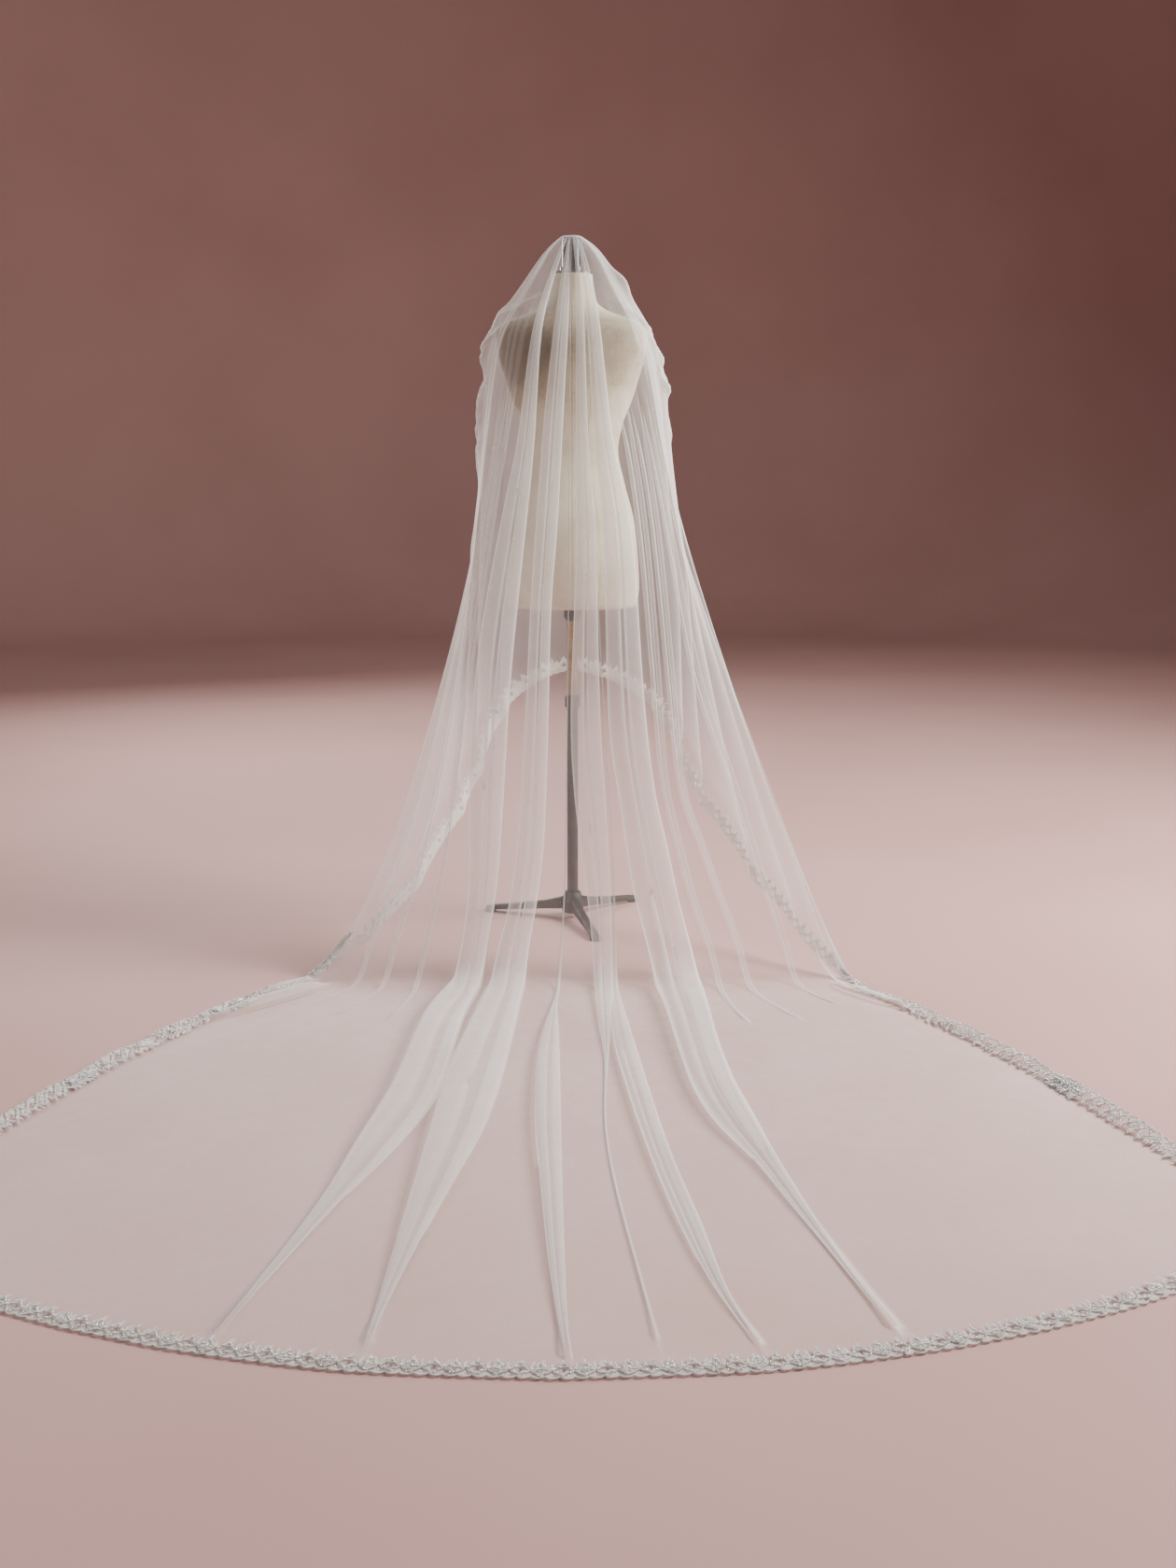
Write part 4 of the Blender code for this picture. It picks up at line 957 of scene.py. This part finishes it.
def lace_ground(border, across=14, deep=6):
    """Thin embroidered net between the scallops and the leaves, open in one lens of each repeat."""
    share = np.arange(border.repeats * across) / across
    part = np.arange(deep + 1) / deep
    edge = edge_in(share % 1)[:, None]
    inner = 0.0255 + 0.0035 * np.abs(np.sin(2 * math.pi * share)) + 0.0014 * np.sin(14 * math.pi * share)
    inner = inner[:, None]
    v = edge + (inner - edge) * part
    u = np.broadcast_to((share * LACE_REPEAT)[:, None], v.shape)
    points = border.at(u, v, np.full(v.shape, GROUND_HEIGHT)).reshape(-1, 3)
    count = len(share)
    quads = grid_quads(count, deep + 1, round_rows=True)
    mid_u = np.broadcast_to(((share + 0.5 / across) % 1)[:, None], (count, deep)).ravel()
    mid_v = ((v[:, :-1] + v[:, 1:]) / 2).ravel()
    open_lens = ((mid_u - 0.75) / 0.13) ** 2 + ((mid_v - VINE_MIDDLE) / 0.0050) ** 2 < 1
    cloth = np.stack([u.ravel(), v.ravel()], 1) * 100
    return points, quads[~open_lens], cloth


def lace_crystals(border, seed):
    """Small cut crystals sewn on the lace, each turned its own way."""
    ball = bmesh.new()
    bmesh.ops.create_icosphere(ball, subdivisions=1, radius=1.0)
    corners = np.array([v.co[:] for v in ball.verts])
    faces = np.array([[v.index for v in f.verts] for f in ball.faces])
    ball.free()
    rng = np.random.default_rng(seed)
    table = np.array(CRYSTAL_ROWS)
    shape = (border.repeats, len(table))
    u = (np.arange(border.repeats)[:, None] + table[:, 0]) * LACE_REPEAT + rng.normal(0, 0.0004, shape)
    v = table[:, 1] + rng.normal(0, 0.0004, shape)
    centres = border.at(u, v, np.broadcast_to(table[:, 3], shape)).reshape(-1, 3)
    radius = (table[:, 2] * (1 + rng.normal(0, 0.08, shape))).reshape(-1)
    spin = rng.normal(0, 1, (len(centres), 4))
    spin /= np.linalg.norm(spin, axis=1, keepdims=True)
    w, x, y, z = spin.T
    matrix = np.stack([1 - 2 * (y * y + z * z), 2 * (x * y - z * w), 2 * (x * z + y * w),
                       2 * (x * y + z * w), 1 - 2 * (x * x + z * z), 2 * (y * z - x * w),
                       2 * (x * z - y * w), 2 * (y * z + x * w), 1 - 2 * (x * x + y * y)], 1)
    turned = np.einsum("nij,kj->nki", matrix.reshape(-1, 3, 3), corners)
    points = turned * radius[:, None, None] + centres[:, None]
    points[..., 2] = np.maximum(points[..., 2], LOWEST)
    tris = (faces[None] + (np.arange(len(centres)) * len(corners))[:, None, None]).reshape(-1, 3)
    return points.reshape(-1, 3), tris


def build_lace(grid, thread, net, crystal):
    """The lace's pieces: cord, vines, leaves, embroidered ground and crystals."""
    border = Border(grid)

    def vine(sign):
        return lace_cord(border, lambda x: VINE_MIDDLE + sign * VINE_SWING * np.sin(math.tau * x),
                         lambda x: VINE_HEIGHT + sign * VINE_WEAVE * np.cos(math.tau * x), VINE_RADIUS)

    cord = lace_cord(border, edge_in, lambda x: np.full(x.shape, CORD_HEIGHT), CORD_RADIUS, 30)
    made = [("lace_edge_cord", thread, *cord), ("lace_vines", thread, *joined([vine(1), vine(-1)])),
            ("lace_leaves_inner", thread, *lace_leaves(border, LEAF_ROWS[:INNER_LEAVES], 3)),
            ("lace_leaves_outer", thread, *lace_leaves(border, LEAF_ROWS[INNER_LEAVES:], 5)),
            ("lace_ground", net, *lace_ground(border))]
    pieces = [array_mesh(name, points, mat, quads, uv=cloth) for name, mat, points, quads, cloth in made]
    points, tris = lace_crystals(border, 9)
    return pieces + [array_mesh("lace_crystals", points, crystal, tris, smooth=False)]


# The torso's cover

TORSO = {name: np.array([row[k] for row in TORSO_ROWS]) for k, name in enumerate(TORSO_COLUMNS)}
# Patches of painted shade on the cloth, where shade falls on the shoulder blades and down the left side:
# place, reach and depth
PAINTED_SHADE_PATCHES = (((-0.125, AXIS_Y - 0.06, 1.35), 0.17, 0.56), ((0.115, AXIS_Y - 0.06, 1.36), 0.14, 0.44),
                ((-0.14, AXIS_Y - 0.08, 1.20), 0.14, 0.16), ((-0.13, AXIS_Y - 0.10, 0.86), 0.16, 0.10))
# Spans of the cover's height, with the rows of points to each
TORSO_SPANS = ((0.7720, 0.7820, 4), (0.7820, 1.40, 72), (1.40, 1.4590, 18), (1.4590, 1.5370, 14))
# Seams by their turn round the axis, half their width in degrees, how deep they sink and how high they go
TORSO_SEAMS = (-90.0, -62.0, -118.0, 62.0, 118.0, 90.0, 0.0, 180.0)
SEAM_WIDTH = 0.45
SEAM_DEPTH = 0.0009
SEAM_TOP = 1.49
# The stitches of the turned edge under the hips
TURNED_EDGE = 0.7890
TURNED_DEPTH = 0.0006


def build_torso(mat):
    """Cloth cover on the form, sewn from panels: smooth, with fine sunk seams."""
    turns = set(np.round(np.arange(0, 360, 3.0), 2))
    for seam in TORSO_SEAMS:
        for side in (-1.3, -0.65, 0.0, 0.65, 1.3):
            turns.add(round((seam + side) % 360, 2))
    turns = np.radians(np.array(sorted(turns)))
    heights = np.concatenate([np.linspace(*span)[min(k, 1):] for k, span in enumerate(TORSO_SPANS)])
    sizes = {name: curve(TORSO["height"], TORSO[name], heights) for name in TORSO_COLUMNS[1:]}
    c, s = np.cos(turns)[None], np.sin(turns)[None]
    power = sizes["power"][:, None]
    deep = np.where(s > 0, sizes["front"][:, None], sizes["back"][:, None])
    wide = sizes["half_width"][:, None]
    radius = (np.abs(c / wide) ** power + np.abs(s / deep) ** power) ** (-1 / power)
    groove = np.zeros_like(turns)
    for seam in TORSO_SEAMS:
        off = (np.degrees(turns) - seam + 180) % 360 - 180
        groove += np.exp(-(off / SEAM_WIDTH) ** 2)
    sewn = ease((SEAM_TOP - heights) / 0.03) * ease((heights - TORSO_SPANS[0][0]) / 0.004)
    radius = radius - SEAM_DEPTH * groove[None] * sewn[:, None]
    radius = radius - TURNED_DEPTH * np.exp(-((heights - TURNED_EDGE) / 0.0012) ** 2)[:, None]
    points = np.stack([radius * c, radius * s, np.broadcast_to(heights[:, None], radius.shape)], -1)

    def shrunk(ring, share, up):
        return ring * np.array([share, share, 1]) + np.array([0, 0, up])

    low, high = points[:1], points[-1:]
    under = [shrunk(low, 0.02, -0.0020), shrunk(low, 0.90, -0.0020), shrunk(low, 0.985, -0.0015)]
    points = np.concatenate([*under, points, shrunk(high, 0.93, 0.0012)])
    rows, count = points.shape[:2]
    around = runs_along(points[40][:, :2])
    cloth = np.stack(np.broadcast_arrays(around[None], points[:, :, 2]), -1).reshape(-1, 2) * 100
    quads = grid_quads(rows, count, round_columns=True, flip=True)
    return array_mesh("torso_cover", points.reshape(-1, 3) + np.array([0, AXIS_Y, 0]), mat, quads, uv=cloth)


# Materials

class Shader:
    """A material's nodes, added one by one. An input takes a value or another node's output."""

    def __init__(self, name):
        self.mat = bpy.data.materials.new(name)
        self.mat.use_nodes = True
        self.tree = self.mat.node_tree
        self.tree.nodes.clear()

    def put(self, socket, value):
        """Sets a socket to a value, or links another node's output to it."""
        if isinstance(value, bpy.types.NodeSocket):
            self.tree.links.new(value, socket)
        else:
            socket.default_value = value

    def add(self, kind, **values):
        """A node with its properties and its inputs set; names of inputs use _ for spaces."""
        made = self.tree.nodes.new("ShaderNode" + kind)
        for key, value in values.items():
            name = key.replace("_", " ")
            if name in made.inputs:
                self.put(made.inputs[name], value)
            else:
                setattr(made, key, value)
        return made

    def place(self):
        return self.add("TexCoord").outputs["Object"]

    def cloth(self):
        return self.add("UVMap", uv_map="cloth").outputs["UV"]

    def noise(self, vector, scale, detail, **more):
        return self.add("TexNoise", Vector=vector, Scale=scale, Detail=detail, **more).outputs["Fac"]

    def wave(self, vector, scale, distortion, **more):
        made = self.add("TexWave", Vector=vector, Scale=scale, Distortion=distortion, Detail=2.0, **more)
        return made.outputs["Fac"]

    def cells(self, vector, scale):
        made = self.add("TexVoronoi", Vector=vector, Scale=scale, feature="DISTANCE_TO_EDGE")
        return made.outputs["Distance"]

    def remap(self, value, low, high, to_low, to_high, **more):
        made = self.add("MapRange", Value=value, From_Min=low, From_Max=high, To_Min=to_low, To_Max=to_high,
                        **more)
        return made.outputs["Result"]

    def maths(self, operation, *values, clamp=False):
        made = self.add("Math", operation=operation, use_clamp=clamp)
        for socket, value in zip(made.inputs, values):
            self.put(socket, value)
        return made.outputs[0]

    def ramp(self, value, *stops):
        made = self.add("ValToRGB", Fac=value)
        while len(made.color_ramp.elements) < len(stops):
            made.color_ramp.elements.new(0.5)
        for element, (spot, colour) in zip(made.color_ramp.elements, stops):
            element.position = spot
            element.color = (*colour, 1.0)
        return made.outputs["Color"]

    def bump(self, height, strength, distance):
        return self.add("Bump", Height=height, Strength=strength, Distance=distance).outputs["Normal"]

    def principled(self, **values):
        return self.add("BsdfPrincipled", **values).outputs[0]

    def mix(self, share, first, second):
        made = self.add("MixShader", Fac=share)
        self.put(made.inputs[1], first)
        self.put(made.inputs[2], second)
        return made.outputs[0]

    def lit_through(self, share, shader, colour):
        """The shader with a share of light that comes through from behind."""
        return self.mix(share, shader, self.add("BsdfTranslucent", Color=colour).outputs[0])

    def seen_through(self, density, shader):
        """The shader as dense as the density says, and clear for the rest."""
        return self.mix(density, self.add("BsdfTransparent").outputs[0], shader)

    def finish(self, surface):
        self.add("OutputMaterial", Surface=surface)
        return self.mat


def tulle_material():
    """Sheer net, mostly seen through: denser where it slants or gathers, uneven, with a fine mesh."""
    net = Shader("sheer_tulle")
    place = net.place()
    cloud = net.noise(place, 3.2, 5.0, Roughness=0.55)
    mesh = net.cells(place, 420.0)
    streak = net.noise(place, 26.0, 3.0, Roughness=0.6)
    facing = net.add("LayerWeight", Blend=0.5).outputs["Facing"]
    gathered = net.add("SeparateXYZ", Vector=net.cloth()).outputs["X"]
    slant = net.maths("DIVIDE", 1.0, net.maths("SUBTRACT", 1.03, facing))
    passes = net.maths("MULTIPLY", net.maths("POWER", slant, SLANT_GAIN), net.maths("ADD", gathered, 1.0))
    density = net.maths("SUBTRACT", 1.0, net.maths("POWER", 1 - TULLE_DENSITY, passes))
    density = net.maths("MULTIPLY", density, net.remap(mesh, 0.0, 0.30, 1.20, 0.86))
    density = net.maths("MULTIPLY", density, net.remap(cloud, 0.3, 0.7, 0.85, 1.16))
    density = net.maths("MULTIPLY", density, net.remap(streak, 0.3, 0.7, 0.94, 1.06), clamp=True)
    colour = net.ramp(cloud, (0.0, (0.93, 0.915, 0.88)), (1.0, (0.98, 0.97, 0.945)))
    shader = net.principled(Roughness=0.72, Sheen_Weight=0.35, Sheen_Roughness=0.4, Base_Color=colour,
                            Normal=net.bump(mesh, 0.25, 0.0004))
    return net.finish(net.seen_through(density, net.lit_through(0.42, shader, colour)))


def thread_material():
    """Silvery ivory embroidery: satin stitches across each leaf and round each cord."""
    thread = Shader("lace_thread")
    stitch = thread.wave(thread.cloth(), 9.0, 1.6)
    patch = thread.noise(thread.place(), 55.0, 3.0)
    blend = thread.maths("MULTIPLY_ADD", stitch, 0.35, thread.maths("MULTIPLY", patch, 0.75))
    colour = thread.ramp(blend, (0.25, (0.50, 0.47, 0.42)), (0.5, (0.84, 0.81, 0.76)),
                         (0.72, (0.98, 0.965, 0.94)))
    shader = thread.principled(Roughness=0.32, Metallic=0.08, Sheen_Weight=0.3, Base_Color=colour,
                               Normal=thread.bump(stitch, 0.6, 0.0003))
    return thread.finish(thread.lit_through(0.32, shader, colour))


def ground_material():
    """Net filled with fine stitches, half open."""
    ground = Shader("lace_ground_net")
    cloth = ground.cloth()
    swirl = ground.wave(cloth, 1.4, 7.0, Detail_Scale=1.2)
    threads = ground.remap(ground.cells(cloth, 7.0), 0.05, 0.22, 0.78, 0.12)
    density = ground.maths("MULTIPLY_ADD", swirl, 0.28, ground.maths("MULTIPLY", threads, 0.8), clamp=True)
    colour = ground.ramp(swirl, (0.0, (0.78, 0.75, 0.71)), (1.0, (0.93, 0.91, 0.87)))
    shader = ground.principled(Roughness=0.55, Sheen_Weight=0.3, Base_Color=colour,
                               Normal=ground.bump(swirl, 0.5, 0.0003))
    return ground.finish(ground.seen_through(density, shader))


def crystal_material():
    """Cut glass: bright facets with a faint cool tint that changes a little from stone to stone."""
    crystal = Shader("clear_crystal")
    tint = crystal.noise(crystal.place(), 90.0, 1.0)
    colour = crystal.ramp(tint, (0.3, (0.80, 0.86, 0.95)), (0.7, (1.0, 0.98, 0.95)))
    return crystal.finish(crystal.principled(Roughness=0.05, Metallic=0.85, IOR=1.65, Base_Color=colour))


def linen_material():
    """Cream cover cloth: a plain weave, slubs, and patches of painted shade on the shoulder blades and down
    the left side to the hip.
    """
    linen = Shader("cream_cover_cloth")
    cloth, place = linen.cloth(), linen.place()
    weave = linen.maths("MAXIMUM", linen.wave(cloth, 3.2, 0.7, bands_direction="X"),
                        linen.wave(cloth, 3.2, 0.7, bands_direction="Y"))
    stain = linen.noise(place, 5.0, 6.0, Roughness=0.6)
    slub = linen.noise(place, 140.0, 3.0)
    shade = linen.maths("MULTIPLY_ADD", weave, 0.10, linen.maths("MULTIPLY_ADD", slub, 0.18, stain))
    # Each patch darkens the cloth with painted shade, where shade falls on the form
    for spot, reach, depth in PAINTED_SHADE_PATCHES:
        away = linen.add("VectorMath", operation="DISTANCE")
        linen.put(away.inputs[0], place)
        away.inputs[1].default_value = spot
        patch = linen.remap(away.outputs["Value"], 0.02, reach, depth, 0.0, interpolation_type="SMOOTHSTEP")
        shade = linen.maths("SUBTRACT", shade, patch)
    colour = linen.ramp(shade, (0.15, (0.15, 0.105, 0.06)), (0.40, (0.36, 0.29, 0.19)),
                        (0.62, (0.63, 0.56, 0.42)), (0.85, (0.80, 0.74, 0.60)))
    return linen.finish(linen.principled(Roughness=0.85, Sheen_Weight=0.25, Sheen_Roughness=0.5,
                                         Base_Color=colour, Normal=linen.bump(weave, 0.5, 0.0005)))


def metal_material(name, dark, light, metallic, roughness, scale, bump_strength):
    """Metal or paint with uneven gloss, fine scratches and a slight change of colour."""
    metal = Shader(name)
    place = metal.place()
    colour = metal.ramp(metal.noise(place, scale, 6.0, Roughness=0.6), (0.35, dark), (0.65, light))
    grain = metal.noise(place, scale * 18, 4.0)
    return metal.finish(metal.principled(Metallic=metallic, Base_Color=colour,
                                         Roughness=metal.remap(grain, 0.3, 0.7, *roughness),
                                         Normal=metal.bump(grain, bump_strength, 0.0004)))


def floor_material():
    """Matt pale ground in two close tones."""
    floor = Shader("pale_floor")
    cloud = floor.noise(floor.place(), 0.8, 3.0)
    colour = floor.ramp(cloud, (0.3, FLOOR_DARK), (0.7, FLOOR_LIGHT))
    return floor.finish(floor.principled(Roughness=0.75, Base_Color=colour))


# Floor, light and camera

# How far the floor is flat, and the radius of the bend into its wall
FLOOR_REACH = 8.0
SWEEP = 2.5
# The photograph's camera: metres from the axis and the floor, degrees down, millimetres of lens
CAMERA_X = 0.038
CAMERA_BEHIND = 4.0
CAMERA_HEIGHT = 1.1
CAMERA_DOWN = 10.81
LENS = 38.14


def build_floor(mat):
    """Seamless round floor that sweeps up into a wall far from the object."""
    profile = [(0.0, 0.0), (3.0, 0.0), (6.0, 0.0), (FLOOR_REACH, 0.0)]
    turns = np.linspace(0, math.pi / 2, 14)[1:]
    profile += [(FLOOR_REACH + SWEEP * math.sin(a), SWEEP - SWEEP * math.cos(a)) for a in turns]
    profile += [(FLOOR_REACH + SWEEP, 6.0), (FLOOR_REACH + SWEEP, 9.0)]
    turns = np.linspace(0, 2 * math.pi, 97)[:-1]
    radius = np.array([max(p[0], 0.001) for p in profile])[:, None]
    height = np.array([p[1] for p in profile])[:, None]
    points = np.stack(np.broadcast_arrays(radius * np.cos(turns), radius * np.sin(turns), height), -1)
    rows, count = points.shape[:2]
    quads = grid_quads(rows, count, round_columns=True)
    array_mesh("studio_floor", points.reshape(-1, 3), mat, quads)


def area_light(name, place, target, size, watts, colour):
    """A square soft light, turned to its target."""
    data = bpy.data.lights.new(name, "AREA")
    data.size = size
    data.energy = watts
    data.color = colour
    lamp = bpy.data.objects.new(name, data)
    bpy.context.scene.collection.objects.link(lamp)
    lamp.location = place
    lamp.rotation_euler = (Vector(target) - Vector(place)).to_track_quat("-Z", "Y").to_euler()


veil_obj, veil_points = build_veil(tulle_material())
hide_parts("tulle")
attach(veil_obj, "root")

lace_pieces = build_lace(veil_points, thread_material(), ground_material(), crystal_material())
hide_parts("lace_border")
for piece in lace_pieces:
    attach(piece, "root")

torso_obj = build_torso(linen_material())
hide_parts("torso")
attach(torso_obj, "root")

chrome = metal_material("dark_chrome_post", (0.018, 0.020, 0.024), (0.055, 0.058, 0.066), 1.0, (0.16, 0.30),
                        14.0, 0.05)
iron = metal_material("black_painted_iron", (0.012, 0.012, 0.013), (0.035, 0.034, 0.034), 0.0, (0.28, 0.50),
                      22.0, 0.35)
brass = metal_material("aged_brown_tube", (0.20, 0.13, 0.07), (0.42, 0.29, 0.15), 0.85, (0.26, 0.46),
                       12.0, 0.15)
metals = {"neck_post": chrome, "upper_tube": brass}
for name in ("neck_post", "upper_tube", "neck_cap", "knob", "collar", "lower_tube", "hub",
             "leg_left", "leg_right", "leg_near", "foot_left", "foot_right", "foot_near"):
    shown = frame["nodes"][name]
    shown.data.materials.clear()
    shown.data.materials.append(metals.get(name, iron))

build_floor(floor_material())
area_light("key", (3.4, AXIS_Y - 0.45, 2.7), (0.0, AXIS_Y - 0.3, 0.9), 1.8, 460, (1.0, 0.97, 0.93))
area_light("fill", (-3.4, AXIS_Y - 2.6, 2.0), (0.0, AXIS_Y - 0.4, 0.5), 2.6, 65, (0.94, 0.96, 1.0))
area_light("rim", (-1.6, AXIS_Y + 3.2, 2.8), (0.0, AXIS_Y, 0.9), 2.0, 150, (1.0, 0.98, 0.96))
world = bpy.data.worlds.new("studio")
bpy.context.scene.world = world
world.use_nodes = True
sky = world.node_tree.nodes["Background"]
sky.inputs["Color"].default_value = (0.95, 0.94, 0.94, 1)
sky.inputs["Strength"].default_value = 0.25

lens = bpy.data.cameras.new("camera")
lens.sensor_width = 36.0
lens.lens = LENS
camera = bpy.data.objects.new("camera", lens)
bpy.context.scene.collection.objects.link(camera)
camera.location = (CAMERA_X, AXIS_Y - CAMERA_BEHIND, CAMERA_HEIGHT)
camera.rotation_euler = (math.radians(90 - CAMERA_DOWN), 0, 0)
bpy.context.scene.camera = camera
